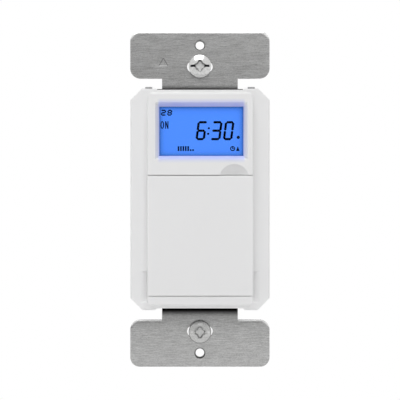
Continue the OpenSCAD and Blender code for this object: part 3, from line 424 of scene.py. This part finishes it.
def domed_screw(thread_d, length, head_d, head_h, neck_d, neck_l):
    """A screw along +y with its head's seat at y = 0 and a thread behind its plain neck. The slot's
    ends take its second material, the cross's floor its third and the cross's walls its fourth."""
    head_r = head_d / 2
    rim = head_h * 0.35
    rise = head_h - rim
    dome_r = (head_r ** 2 + rise ** 2) / (2 * rise)
    root = thread_d / 2 - 0.3
    neck_r = neck_d / 2
    slot_half = head_d * 0.05
    slot_floor = -head_h * 0.55
    cross_half = head_d * 0.28
    cross_floor = -head_h * 0.4

    def dome(radius):
        """The y of the dome's face at a radius."""
        return dome_r - head_h - math.sqrt(dome_r ** 2 - radius ** 2)

    profile = [(0, -head_h)]
    profile += [(head_r * i / 10, dome(head_r * i / 10)) for i in range(1, 11)]
    profile += [(head_r, -0.1), (head_r - 0.1, 0), (neck_r, 0), (neck_r, neck_l), (root, neck_l + 0.1)]
    profile += [(root, length - root), (root / 2, length), (0, length)]
    core = bmesh.new()
    turned(core, profile)
    slot = [(-head_d, -slot_half), (head_d, -slot_half), (head_d, slot_half), (-head_d, slot_half)]
    cross = star(cross_half, head_d * 0.3, arm_half=head_d * 0.07, waist=head_d * 0.14)
    made = carved(core, [
        tapered(slot, -head_h - 1, slot_floor, foot=1.0),
        tapered(cross, -head_h - 0.1, cross_floor, foot=0.65),
    ])
    made.normal_update()
    for face in made.faces:
        spot = face.calc_center_median()
        radius = math.hypot(spot.x, spot.z)
        on_head = radius < head_r - 0.05 and spot.y < -rim / 2
        if on_head and spot.y > dome(radius) + 0.04:
            floor_or_wall = 2 if face.normal.y < -0.9 else 3
            face.material_index = 1 if abs(spot.x) > cross_half * 0.95 else floor_or_wall
    sharp = [e for e in made.edges if e.is_manifold and e.calc_face_angle() > 0.7]
    bmesh.ops.bevel(made, geom=sharp, offset=0.06, segments=2, affect="EDGES", clamp_overlap=True)
    thread_ridge(made, neck_l, length - 0.4, wall=root - 0.05, crest=thread_d / 2, pitch=thread_d * 0.23)
    return made


def worked_metal(name, dark, light, roughness=0.3, painted_light_mask=None):
    """Turned or stamped metal with a barrel-plated finish, whose colour painted light may lighten or
    darken in places.
    """
    look = new_material(name, light, roughness, 1.0)
    mottle = grain(look, 0.7, 4.0)
    colour = tint(look, mottle, dark, light)
    if painted_light_mask:
        colour = scaled(look, colour, painted_light_mask(look))
    scuffs = ramp(look, grain(look, 0.25), *NOISE_SPAN, roughness - 0.08, roughness + 0.1, "LINEAR")
    paint(look, {"Base Color": colour, "Roughness": scuffs})
    relief(look, mottle, 0.004)
    return look


def lower_screw_painted_light(look):
    """Painted light on the lower screw: a reflection, lighter on the head's lower half and darker on its
    upper half, and shade along its rim.
    """
    up = sums(look, "ADD", along(look, "Z"), BOX_SCREW_Z)
    reach = away(look, along(look, "X"), up)
    rim = BOX_HEAD_D / 2
    painted_reflection = ramp(look, up, -3.2, 1.0, low=1.38, high=0.72)
    rim_painted_shade = ramp(look, reach, rim - 0.35, rim - 0.05, low=1.0, high=0.4)
    return sums(look, "MULTIPLY", painted_reflection, rim_painted_shade)


bright_plating = worked_metal("bright_plating", (0.54, 0.54, 0.535), (0.68, 0.68, 0.675), 0.16)
# The lower screw's plating carries painted light: a reflection on the head and shade along its rim.
dull_plating = worked_metal("dull_plating", (0.53, 0.53, 0.525), (0.64, 0.64, 0.63), 0.3, lower_screw_painted_light)
# The drives' colours are painted light. On the upper screw the slot's ends are painted black as shade,
# the cross's floor bright as a highlight and its walls dark as shade; on the lower screw the slot's ends
# and the cross's floor are painted light as a highlight and the cross's walls dark as shade.
slot_end_painted_shade = worked_metal("slot_end_painted_shade", (0.015, 0.015, 0.02), (0.06, 0.06, 0.065), 0.3)
cross_floor_painted_highlight = worked_metal("cross_floor_painted_highlight", (0.84, 0.84, 0.835), (0.97, 0.97, 0.965), 0.5)
lower_drive_painted_highlight = worked_metal("lower_drive_painted_highlight", (0.7, 0.7, 0.695), (0.82, 0.82, 0.81), 0.5)
cross_wall_painted_shade = worked_metal("cross_wall_painted_shade", (0.12, 0.12, 0.12), (0.3, 0.3, 0.3), 0.25)
lower_cross_wall_painted_shade = worked_metal("lower_cross_wall_painted_shade", (0.26, 0.26, 0.26), (0.42, 0.42, 0.42), 0.35)
for end, centre, looks in (
    ("upper", BOX_SCREW_Z, (bright_plating, slot_end_painted_shade, cross_floor_painted_highlight, cross_wall_painted_shade)),
    ("lower", -BOX_SCREW_Z, (dull_plating, lower_drive_painted_highlight, lower_drive_painted_highlight, lower_cross_wall_painted_shade)),
):
    screw = domed_screw(thread_d=3.5, length=BOX_SCREW_L, head_d=BOX_HEAD_D, head_h=1.9,
                        neck_d=3.1, neck_l=2.1)
    bmesh.ops.translate(screw, vec=(0, STRAP_FRONT, centre), verts=screw.verts)
    piece = new_piece(end + "_box_screw", screw, looks, "housing")
    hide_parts("box_screws")

fibre = grained("fibre", (0.42, 0.22, 0.13), (0.9, 0.15, 0.15), (0.85, 0.85), depth=0.05, detail=5.0,
                shades=((0.3, 0.15, 0.08), (0.52, 0.29, 0.18)))
dress(fibre, "screw_retainers")


# Front cover: one white moulding with a fine satin skin. It has wings that lie over the wall box, the
# raised face with the display's sloped window and a thumb scoop, painted a little greyer as shade, and
# a tub of keys under the lid. Round the window the plastic is painted blue as the backlight's light,
# darker above the window as painted shade, and made to glow faintly blue though it is no lamp.
WHITE = (0.89, 0.89, 0.893)
LENS_LAP = 1.0
END_GLOW_FADE = 0.3, 2.6
SIDE_GLOW_FADE = 0.0, 1.6
SILL_FADE = 0.7, 1.4
SCOOP_X = 10.4
SCOOP_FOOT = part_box("lid")[1].z / MM + 0.2
SCOOP_H = 3.4
SCOOP_HALF_W = 4.5
SCOOP_R = (SCOOP_HALF_W ** 2 + SCOOP_H ** 2) / (2 * SCOOP_H)
# How much greyer the thumb scoop is painted, as shade.
SCOOP_SHADE = 0.12


def node_middle(name):
    """The middle of a CAD node's box in mm."""
    low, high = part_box(name)
    return (low + high) / 2 / MM


def node_half(name):
    """Half the size of a CAD node's box in mm."""
    low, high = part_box(name)
    return (high - low) / 2 / MM


def past_edge(look, axis, middle, half):
    """How far in mm a point lies past a window's edge along one axis, or inside it as a minus."""
    off_middle = sums(look, "ABSOLUTE", sums(look, "SUBTRACT", along(look, axis), middle))
    return sums(look, "SUBTRACT", off_middle, half)


WINDOW_X = node_middle("display_lens").x
WINDOW_Z = node_middle("display_lens").z
WINDOW_HALF_W = node_half("display_lens").x - LENS_LAP
WINDOW_HALF_H = node_half("display_lens").z - LENS_LAP

white_plastic = grained("white_plastic", WHITE, 0.12, (0.37, 0.48), depth=0.003)
white_z = along(white_plastic, "Z")
side_gap = past_edge(white_plastic, "X", WINDOW_X, WINDOW_HALF_W)
end_gap = past_edge(white_plastic, "Z", WINDOW_Z, WINDOW_HALF_H)
# Painted light: round the window the colour is painted blue as the backlight's light on the plastic,
# lighter below the window and darker above it as painted shade.
end_glow = sums(white_plastic, "MULTIPLY",
                ramp(white_plastic, end_gap, *END_GLOW_FADE, low=1.0, high=0.0),
                ramp(white_plastic, side_gap, -0.3, 0.7, low=1.0, high=0.0))
side_glow = sums(white_plastic, "MULTIPLY",
                 ramp(white_plastic, side_gap, *SIDE_GLOW_FADE, low=0.16, high=0.0),
                 ramp(white_plastic, end_gap, -0.5, 0.6, low=1.0, high=0.0))
glow = sums(white_plastic, "MAXIMUM", end_glow, side_glow)
upward = ramp(white_plastic, white_z, WINDOW_Z - 6, WINDOW_Z + 6)
glow_blue = tint(white_plastic, upward, (0.68, 0.72, 0.96), (0.54, 0.58, 0.93), span=(0.0, 1.0))
tinted = add_node(white_plastic, "Mix", {"Factor": glow, "A": (*WHITE, 1), "B": glow_blue},
                  data_type="RGBA")

scoop_side = sums(white_plastic, "SUBTRACT", along(white_plastic, "X"), SCOOP_X)
scoop_up = sums(white_plastic, "SUBTRACT", white_z, SCOOP_FOOT + SCOOP_H - SCOOP_R)
scoop_way = away(white_plastic, scoop_side, scoop_up)
# Painted shade: the thumb scoop is made greyer, fading out at its rim and towards its foot.
scoop_painted_shade = sums(white_plastic, "MULTIPLY",
              ramp(white_plastic, scoop_way, SCOOP_R - 0.25, SCOOP_R + 0.1, low=SCOOP_SHADE, high=0.0),
              ramp(white_plastic, white_z, SCOOP_FOOT, SCOOP_FOOT + 0.9))
scoop_unshaded = sums(white_plastic, "SUBTRACT", 1.0, scoop_painted_shade)

# Painted glow: the plastic round the window also emits faint blue light, most on the sill, though it is
# no lamp.
sill_shine = sums(white_plastic, "MULTIPLY", glow,
                  ramp(white_plastic, white_z, WINDOW_Z - 8, WINDOW_Z + 6, low=0.2, high=0.0),
                  ramp(white_plastic, end_gap, *SILL_FADE, low=1.0, high=0.0))
side_shine = sums(white_plastic, "MULTIPLY", side_glow, 0.35)
paint(white_plastic, {
    "Base Color": scaled(white_plastic, tinted.outputs["Result"], scoop_unshaded),
    "Subsurface Weight": 1.0,
    "Subsurface Radius": (1.0, 1.0, 1.0),
    "Subsurface Scale": 0.6 * MM,
    "Emission Color": (0.08, 0.1, 1.0, 1),
    "Emission Strength": sums(white_plastic, "MAXIMUM", sill_shine, side_shine),
})
dress(white_plastic, "front_cover")
soften(0.05, "front_cover")


# Display: a clear lens behind the window, then two glass plates with the liquid crystal between
# them. A light guide lit by two lamps makes the glass glow blue; its glow is painted darker towards
# its edges as the window's shade, and the switched segments show black. A moulded frame holds the
# stack on the control board.
GLASS_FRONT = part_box("display_front_glass")[0].y / MM
EDGE_SHADE_BASE = 0.2
SEGMENT_DEPTH = GLASS_FRONT - 0.04, GLASS_FRONT
SLANT = 0.127
TIME_FOOT = 18.2
TIME_DIGITS = (6, -1.5), (3, 3.3), (0, 6.98)
COLON_DOTS = (2.7, 21.92), (2.48, 20.2)
POINT = (11.8, 19.1)
LETTER_O = (-11.72, 22.93)
LETTER_N = (-10.68, 21.75), (-10.68, 24.1), (-9.96, 21.75), (-9.96, 24.1)
COUNT_FOOT = 25.8
COUNT_DIGITS = (2, -12.2), (8, -10.3)
LEVEL_FOOT = 14.88
LEVEL_X = -6.7
LEVEL_PITCH = 0.75
LEVEL_HEIGHTS = (1.5,) * 5 + (0.55,) * 2
CLOCK = (10.05, 15.62)
CLOCK_HANDS = ((10.05, 15.6), (10.05, 16.2)), ((10.0, 15.62), (10.45, 15.62))
ARROW = (11.1, 14.9), (12.2, 14.9), (11.65, 16.35)

clear_lens = grained("clear_lens", (1.0, 1.0, 1.0), 2, (0.0, 0.03))
paint(clear_lens, {"Transmission Weight": 1.0, "IOR": 1.1})
dress(clear_lens, "display_lens")

lit_glass = new_material("lit_glass", (0.01, 0.02, 0.06), 0.4)


def share_past_edge_shade(axis, middle, half):
    """The share of the backlight left at a point of the glass, less towards its edges on one axis as
    painted shade.
    """
    inside = sums(lit_glass, "MULTIPLY", past_edge(lit_glass, axis, middle, half), -1.0)
    return sums(lit_glass, "SUBTRACT", 1.0, sums(lit_glass, "POWER", EDGE_SHADE_BASE, inside))


# Painted shade: the glass's glow is made darker towards its edges.
backlight = sums(lit_glass, "MULTIPLY", share_past_edge_shade("X", WINDOW_X, WINDOW_HALF_W + 0.07),
                 share_past_edge_shade("Z", WINDOW_Z, WINDOW_HALF_H + 0.05))
paint(lit_glass, {
    "Specular IOR Level": 0.0,
    "Emission Color": tint(lit_glass, backlight, (0.02, 0.075, 0.27), (0.074, 0.262, 0.985), (0.0, 1.0)),
    "Emission Strength": 1.0,
})
dress(lit_glass, "display_front_glass")

dark_crystal = grained("dark_crystal", (0.0, 0.0, 0.002), 0.5, (0.5, 0.7))
paint(dark_crystal, {"Specular IOR Level": 0.0})


def digit(shape, number, corner, width, height, stroke):
    """Adds a seven-segment digit whose foot stands at an (x, z) corner and which leans to the right.
    A segment reaches past a free corner and stops short of one that it shares."""
    on = {0: "abcdef", 2: "abged", 3: "abgcd", 6: "afgedc", 8: "abcdefg"}[number]
    inset = stroke / 2
    left, right = inset, width - inset
    foot, middle, top = inset, height / 2, height - inset
    ends = {
        "a": ((left, top), (right, top)), "b": ((right, middle), (right, top)),
        "c": ((right, foot), (right, middle)), "d": ((left, foot), (right, foot)),
        "e": ((left, foot), (left, middle)), "f": ((left, middle), (left, top)),
        "g": ((left, middle), (right, middle)),
    }
    met = [end for name in on for end in ends[name]]
    for name in on:
        start, end = (Vector((corner[0] + x + SLANT * z, corner[1] + z)) for x, z in ends[name])
        way = (end - start).normalized()
        reach = [stroke * 0.45 if met.count(spot) == 1 else -0.04 for spot in ends[name]]
        bar(shape, start - way * reach[0], end + way * reach[1], stroke, SEGMENT_DEPTH, inset * 0.7)


def ring(shape, centre, half_w, half_h, stroke, depth, steps=24):
    """Adds a round or oval ring."""
    angles = turn_angles(steps)
    for here, there in zip(angles, angles[1:] + angles[:1]):
        edge = [
            (centre[0] + (half_w + out) * math.cos(a), centre[1] + (half_h + out) * math.sin(a))
            for a, out in ((here, 0), (there, 0), (there, -stroke), (here, -stroke))
        ]
        plate(shape, edge, depth)


def dot(shape, centre, radius, depth, steps=20):
    """Adds a round spot."""
    edge = [
        (centre[0] + radius * math.cos(a), centre[1] + radius * math.sin(a))
        for a in turn_angles(steps)
    ]
    plate(shape, edge, depth)


segments = bmesh.new()
for number, foot in TIME_DIGITS:
    digit(segments, number, (foot, TIME_FOOT), width=2.95, height=5.94, stroke=0.72)
for spot in COLON_DOTS:
    dot(segments, spot, radius=0.34, depth=SEGMENT_DEPTH)
ring(segments, LETTER_O, half_w=0.58, half_h=1.18, stroke=0.32, depth=SEGMENT_DEPTH)
for start, end in zip(LETTER_N, LETTER_N[1:]):
    bar(segments, start, end, width=0.3, depth=SEGMENT_DEPTH)
for number, foot in COUNT_DIGITS:
    digit(segments, number, (foot, COUNT_FOOT), width=1.5, height=1.85, stroke=0.4)
for i, height in enumerate(LEVEL_HEIGHTS):
    foot = LEVEL_X + LEVEL_PITCH * i
    bar(segments, (foot, LEVEL_FOOT), (foot, LEVEL_FOOT + height), width=0.48, depth=SEGMENT_DEPTH)
ring(segments, CLOCK, half_w=0.78, half_h=0.78, stroke=0.3, depth=SEGMENT_DEPTH)
for start, end in CLOCK_HANDS:
    bar(segments, start, end, width=0.26, depth=SEGMENT_DEPTH)
plate(segments, ARROW, SEGMENT_DEPTH)
dot(segments, POINT, radius=0.5, depth=SEGMENT_DEPTH)
new_piece("display_segments", segments, [dark_crystal], "housing")

rear_glass = grained("rear_glass", (0.15, 0.3, 0.85), 3, (0.05, 0.15))
paint(rear_glass, {"Transmission Weight": 0.6})
dress(rear_glass, "display_rear_glass")

clear_acrylic = grained("clear_acrylic", (0.82, 0.88, 0.98), 0.3, (0.2, 0.5), depth=0.02)
dress(clear_acrylic, "light_guide")

lamp_resin = grained("lamp_resin", (0.95, 0.93, 0.7), 0.4, (0.2, 0.2),
                     shades=((0.9, 0.86, 0.55), (0.97, 0.96, 0.8)))
dress(lamp_resin, "backlight_lamps")

frame_plastic = grained("frame_plastic", (0.82, 0.82, 0.81), 0.2, (0.4, 0.6), depth=0.005)
dress(frame_plastic, "display_frame")

contact_rubber = new_material("contact_rubber", (0.75, 0.45, 0.45), 0.8)
layers = grain(contact_rubber, (0.1, 20, 20), 0.0)
layer_colour = tint(contact_rubber, layers, (0.05, 0.04, 0.04), (0.75, 0.45, 0.45), span=(0.45, 0.55))
paint(contact_rubber, {"Base Color": layer_colour})
dress(contact_rubber, "contact_strip")


# Lid: a thin white moulding in the cover's satin plastic that closes the lower face. It turns
# down on two pins at its lower corners, and a rib under its top edge plugs into the tub's mouth.
dress(white_plastic, "lid")
soften(0.02, "lid")


# Keys: satin grey caps in the tub under the lid, each with a plain printed sign, and a small
# dark reset button between the columns. Every cap pushes the black plunger of a switch.
KEYS = "day", "hour", "minute", "program", "clock", "mode", "on_off"
KEY_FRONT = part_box("program_key")[0].y / MM
INK_DEPTH = KEY_FRONT - 0.02, KEY_FRONT + 0.1

key_caps = [key + "_key" for key in KEYS]
key_plastic = grained("key_plastic", (0.68, 0.69, 0.7), 0.15, (0.42, 0.58), depth=0.004,
                      shades=((0.66, 0.67, 0.68), (0.71, 0.72, 0.73)))
dress(key_plastic, *key_caps)
soften(0.25, *key_caps)

reset_plastic = grained("reset_plastic", (0.25, 0.25, 0.26), 0.15, (0.42, 0.58), depth=0.004)
dress(reset_plastic, "reset_button")
soften(0.15, "reset_button")

print_ink = grained("print_ink", (0.04, 0.04, 0.045), 0.1, (0.5, 0.75))


def cap_spots(key, *offsets):
    """Points (x, z) at the given offsets from the middle of a key's cap."""
    middle = node_middle(key + "_key")
    return [(middle.x + x, middle.z + z) for x, z in offsets]


def day_sign(shape):
    """Adds a row of seven dots."""
    for spot in cap_spots("day", *((0.75 * i, 0) for i in range(-3, 4))):
        dot(shape, spot, radius=0.24, depth=INK_DEPTH)


def clock_face(shape, key, *hands):
    """Adds a clock face with hands of the given reach in x and z."""
    centre, *tips = cap_spots(key, (0, 0), *hands)
    ring(shape, centre, half_w=1.3, half_h=1.3, stroke=0.25, depth=INK_DEPTH, steps=28)
    for tip in tips:
        bar(shape, centre, tip, width=0.26, depth=INK_DEPTH)


def program_sign(shape):
    """Adds three lines of a list."""
    for level in (-0.7, 0, 0.7):
        left, right = cap_spots("program", (-1.2, level), (1.2, level))
        bar(shape, left, right, width=0.28, depth=INK_DEPTH)


def mode_sign(shape):
    """Adds two arrowheads that point apart."""
    for side in (-1, 1):
        arrow = cap_spots("mode", (0.3 * side, -0.8), (1.5 * side, 0), (0.3 * side, 0.8))
        plate(shape, arrow[::side], INK_DEPTH)


def on_off_sign(shape):
    """Adds a stroke for on and a ring for off."""
    foot, top, centre = cap_spots("on_off", (-1.6, -1), (-1.6, 1), (1.6, 0))
    bar(shape, foot, top, width=0.32, depth=INK_DEPTH)
    ring(shape, centre, half_w=1.0, half_h=1.0, stroke=0.3, depth=INK_DEPTH, steps=28)


signs = {key: bmesh.new() for key in KEYS}
day_sign(signs["day"])
clock_face(signs["hour"], "hour", (0.45, 0.35))
clock_face(signs["minute"], "minute", (0.0, 0.85))
program_sign(signs["program"])
clock_face(signs["clock"], "clock", (0.0, 0.85), (0.6, 0.0))
mode_sign(signs["mode"])
on_off_sign(signs["on_off"])
for key, sign in signs.items():
    new_piece(key + "_sign", sign, [print_ink], key + "_key")

plunger_plastic = grained("plunger_plastic", (0.05, 0.05, 0.05), 0.2, (0.4, 0.6))
dress(plunger_plastic, "reset_plunger", *(key + "_plunger" for key in KEYS))

switch_plastic = grained("switch_plastic", (0.1, 0.1, 0.11), 0.2, (0.45, 0.65), depth=0.01)
dress(switch_plastic, "key_switches")


# Circuit boards: glass-fibre sheets with a green lacquer over the copper tracks. The control
# board carries chip, crystal, backup cell and its clip; a pin header plugs it into the socket of
# the power board, which is screwed to posts of the rear case.
CHIP_LEAD = 0.89

lacquer = new_material("lacquer", (0.03, 0.2, 0.08))
board_place = add_node(lacquer, "TexCoord", {}).outputs["Object"]
upright = add_node(lacquer, "Mapping", {"Vector": board_place, "Rotation": (math.pi / 2, 0, 0)})
tracks = add_node(lacquer, "TexBrick", {
    "Vector": upright.outputs["Vector"],
    "Scale": 300,
    "Mortar Size": 0.03,
    "Color1": (0.02, 0.15, 0.06, 1),
    "Color2": (0.03, 0.19, 0.075, 1),
    "Mortar": (0.06, 0.33, 0.13, 1),
})
paint(lacquer, {
    "Base Color": tracks.outputs["Color"],
    "Roughness": ramp(lacquer, grain(lacquer, 0.6), *NOISE_SPAN, 0.2, 0.35, "LINEAR"),
})
dress(lacquer, "control_board", "power_board")

chip_middle = node_middle("controller_chip")
chip_half = node_half("controller_chip")
chip_resin = grained("chip_resin", (0.03, 0.03, 0.03), 0.1, (0.6, 0.6), depth=0.01)
past_side = past_edge(chip_resin, "X", chip_middle.x, chip_half.x - CHIP_LEAD)
past_end = past_edge(chip_resin, "Z", chip_middle.z, chip_half.z - CHIP_LEAD)
on_leads = sums(chip_resin, "GREATER_THAN", sums(chip_resin, "MAXIMUM", past_side, past_end), 0.0)
paint(chip_resin, {
    "Base Color": tint(chip_resin, on_leads, (0.03, 0.03, 0.03), (0.6, 0.6, 0.58), span=(0.4, 0.6)),
    "Metallic": on_leads,
})
dress(chip_resin, "controller_chip")

diode_resin = grained("diode_resin", (0.03, 0.03, 0.03), 0.2, (0.4, 0.6))
dress(diode_resin, "diodes")

plated_can = grained("plated_can", (0.6, 0.6, 0.58), (0.2, 2, 2), (0.22, 0.4), depth=0.003,
                     metallic=1.0)
dress(plated_can, "quartz_crystal", "backup_cell", "board_screws")

clip_steel = grained("clip_steel", (0.55, 0.55, 0.55), (2, 2, 0.15), (0.28, 0.45), depth=0.003,
                     metallic=1.0)
dress(clip_steel, "cell_clip")

header_plastic = grained("header_plastic", (0.04, 0.04, 0.05), 0.2, (0.4, 0.6), depth=0.01)
dress(header_plastic, "pin_header", "header_socket")


# Power parts: the relay's blue box, a yellow film capacitor, two sleeved electrolytic cans, a
# dipped varistor and a fusible resistor, all soldered to the rear of the power board.
relay_plastic = grained("relay_plastic", (0.03, 0.14, 0.45), 0.3, (0.28, 0.42), depth=0.006)
dress(relay_plastic, "relay")
soften(0.2, "relay")

film_plastic = grained("film_plastic", (0.75, 0.5, 0.05), 1.5, (0.3, 0.3),
                       shades=((0.7, 0.44, 0.04), (0.78, 0.53, 0.06)))
dress(film_plastic, "film_capacitor")
soften(0.2, "film_capacitor")

can_sleeve = grained("can_sleeve", (0.03, 0.03, 0.06), (3, 0.4, 3), (0.22, 0.4), depth=0.02)
dress(can_sleeve, "electrolytic_capacitors")

varistor_coat = grained("varistor_coat", (0.03, 0.18, 0.5), 0.8, (0.2, 0.4), depth=0.08)
dress(varistor_coat, "varistor")
soften(0.6, "varistor")

resistor_coat = grained("resistor_coat", (0.55, 0.6, 0.5), 0.4, (0.7, 0.7), depth=0.04,
                        shades=((0.48, 0.54, 0.43), (0.6, 0.65, 0.55)))
dress(resistor_coat, "fuse_resistor")
soften(0.4, "fuse_resistor")


# Terminals: stamped plates on the floors of the side channels, each with a clamp plate and a
# domed screw. Brass ones take line and load, nickel ones neutral, and a green screw takes earth on
# the strap's own lug.
SCREW_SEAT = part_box("wire_clamps")[1].x / MM
TERMINAL_SCREW_L = SCREW_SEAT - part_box("brass_terminal_screws")[0].x / MM
TERMINAL_HEAD_D = 6.8

brass = worked_metal("brass", (0.55, 0.37, 0.13), (0.72, 0.52, 0.22))
nickel = worked_metal("nickel", (0.52, 0.51, 0.48), (0.68, 0.67, 0.64))
earth_green = worked_metal("earth_green", (0.02, 0.2, 0.05), (0.04, 0.33, 0.09))
dress(brass, "line_terminal", "load_terminal")
dress(nickel, "neutral_terminal", "wire_clamps")
soften(0.12, "wire_clamps")
terminal_middle = node_middle("neutral_screw")
for name, look, slot, side, up, stands_for in (
    ("line_screw", brass, "brass", 1, 1, "brass_terminal_screws"),
    ("load_screw", brass, "brass", 1, -1, "brass_terminal_screws"),
    ("neutral_terminal_screw", nickel, "nickel", -1, 1, "neutral_screw"),
    ("earth_terminal_screw", earth_green, "earth_green", -1, -1, "earth_screw"),
):
    screw = domed_screw(thread_d=3.3, length=TERMINAL_SCREW_L, head_d=TERMINAL_HEAD_D, head_h=1.9,
                        neck_d=3.0, neck_l=0.3)
    turn_in = Matrix.Rotation(math.pi / 2 * side, 4, "Z")
    bmesh.ops.transform(screw, matrix=turn_in, verts=screw.verts)
    seat = (side * SCREW_SEAT, terminal_middle.y, up * terminal_middle.z)
    bmesh.ops.translate(screw, vec=seat, verts=screw.verts)
    piece = new_piece(name, screw, [look] * 4, "housing")
    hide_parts(stands_for)


# Rear case: a deep grey moulding with a spark-eroded grain that closes the back. Four latch arms
# hook into notches in the cover's ends, and slots in its own ends let warm air out.
case_plastic = grained("case_plastic", (0.42, 0.42, 0.43), 0.25, (0.48, 0.64), depth=0.02, detail=4.0,
                       shades=((0.39, 0.39, 0.4), (0.45, 0.45, 0.46)))
dress(case_plastic, "rear_case")
soften(0.15, "rear_case")


# Studio: a round pale floor well below the part that fades to white, one big soft light from
# above the front, white all round but for a dark doorway in front that shiny metal mirrors, and the
# camera straight in front of the face.
FLOOR_Z = -120
FLOOR_R = 450
FLOOR_FADE = 80, 190
DOORWAY = Vector((-0.06, -1, -0.03)).normalized()
SOFT_BOX_AT = Vector((-0.16, -0.8, 2.2))
CAMERA_AT = (-0.0045, -0.244, -0.000286)

ground = bmesh.new()
bmesh.ops.create_circle(ground, cap_ends=True, segments=96, radius=FLOOR_R * MM)
floor_data = bpy.data.meshes.new("floor")
ground.to_mesh(floor_data)
ground.free()
floor = bpy.data.objects.new("floor", floor_data)
floor.location = (0, 0, FLOOR_Z * MM)
bpy.context.scene.collection.objects.link(floor)
floor_paint = new_material("floor_paint", (0.85, 0.85, 0.85), 0.9)
floor_reach = away(floor_paint, along(floor_paint, "X"), along(floor_paint, "Y"))
floor_mix = add_node(floor_paint, "MixShader", {
    "Fac": ramp(floor_paint, floor_reach, *FLOOR_FADE, run="LINEAR"),
    1: floor_paint.node_tree.nodes["Principled BSDF"].outputs["BSDF"],
    2: add_node(floor_paint, "Emission", {}).outputs["Emission"],
})
floor_output = floor_paint.node_tree.nodes["Material Output"]
fill(floor_paint, floor_output, {"Surface": floor_mix.outputs["Shader"]})
floor_data.materials.append(floor_paint)

sky = bpy.data.worlds.new("sky")
sky.use_nodes = True
bpy.context.scene.world = sky
rays = add_node(sky, "LightPath", {}).outputs
sky_way = add_node(sky, "TexCoord", {}).outputs["Generated"]
sky_front = add_node(sky, "VectorMath", {0: sky_way, 1: DOORWAY}, operation="DOT_PRODUCT")


def towards_door(outer, inner, low, high):
    """Runs from low to high as a way into the sky turns nearer the doorway, between two angles."""
    start = math.cos(math.radians(outer))
    end = math.cos(math.radians(inner))
    return ramp(sky, sky_front.outputs["Value"], start, end, low, high)


mirrored = sums(sky, "MULTIPLY", towards_door(32, 12, low=1.0, high=0.04), rays["Is Glossy Ray"])
seen = sums(sky, "MAXIMUM", rays["Is Camera Ray"], rays["Is Transmission Ray"])
unseen = sums(sky, "SUBTRACT", 1.0, sums(sky, "MAXIMUM", seen, rays["Is Glossy Ray"]))
lighting = sums(sky, "MULTIPLY", unseen, towards_door(35, 8, low=0.31, high=1.6))
fill(sky, sky.node_tree.nodes["Background"], {
    "Color": (1, 1, 1, 1),
    "Strength": sums(sky, "MAXIMUM", seen, mirrored, lighting),
})

soft_box = bpy.data.lights.new("soft_box", "AREA")
soft_box.energy = 28.8
soft_box.size = 1.8
soft_box_stand = bpy.data.objects.new("soft_box", soft_box)
soft_box_stand.location = SOFT_BOX_AT
soft_box_stand.rotation_euler = (-SOFT_BOX_AT).to_track_quat("-Z", "Y").to_euler()
bpy.context.scene.collection.objects.link(soft_box_stand)

camera = bpy.data.cameras.new("camera")
camera.sensor_width = 36
camera.lens = 69.52
camera.shift_x = 0.036
camera.clip_start = 0.01
camera_stand = bpy.data.objects.new("camera", camera)
camera_stand.location = CAMERA_AT
camera_stand.rotation_euler = (math.pi / 2, 0, 0)
bpy.context.scene.collection.objects.link(camera_stand)
bpy.context.scene.camera = camera_stand
bpy.context.scene.view_settings.view_transform = "Standard"
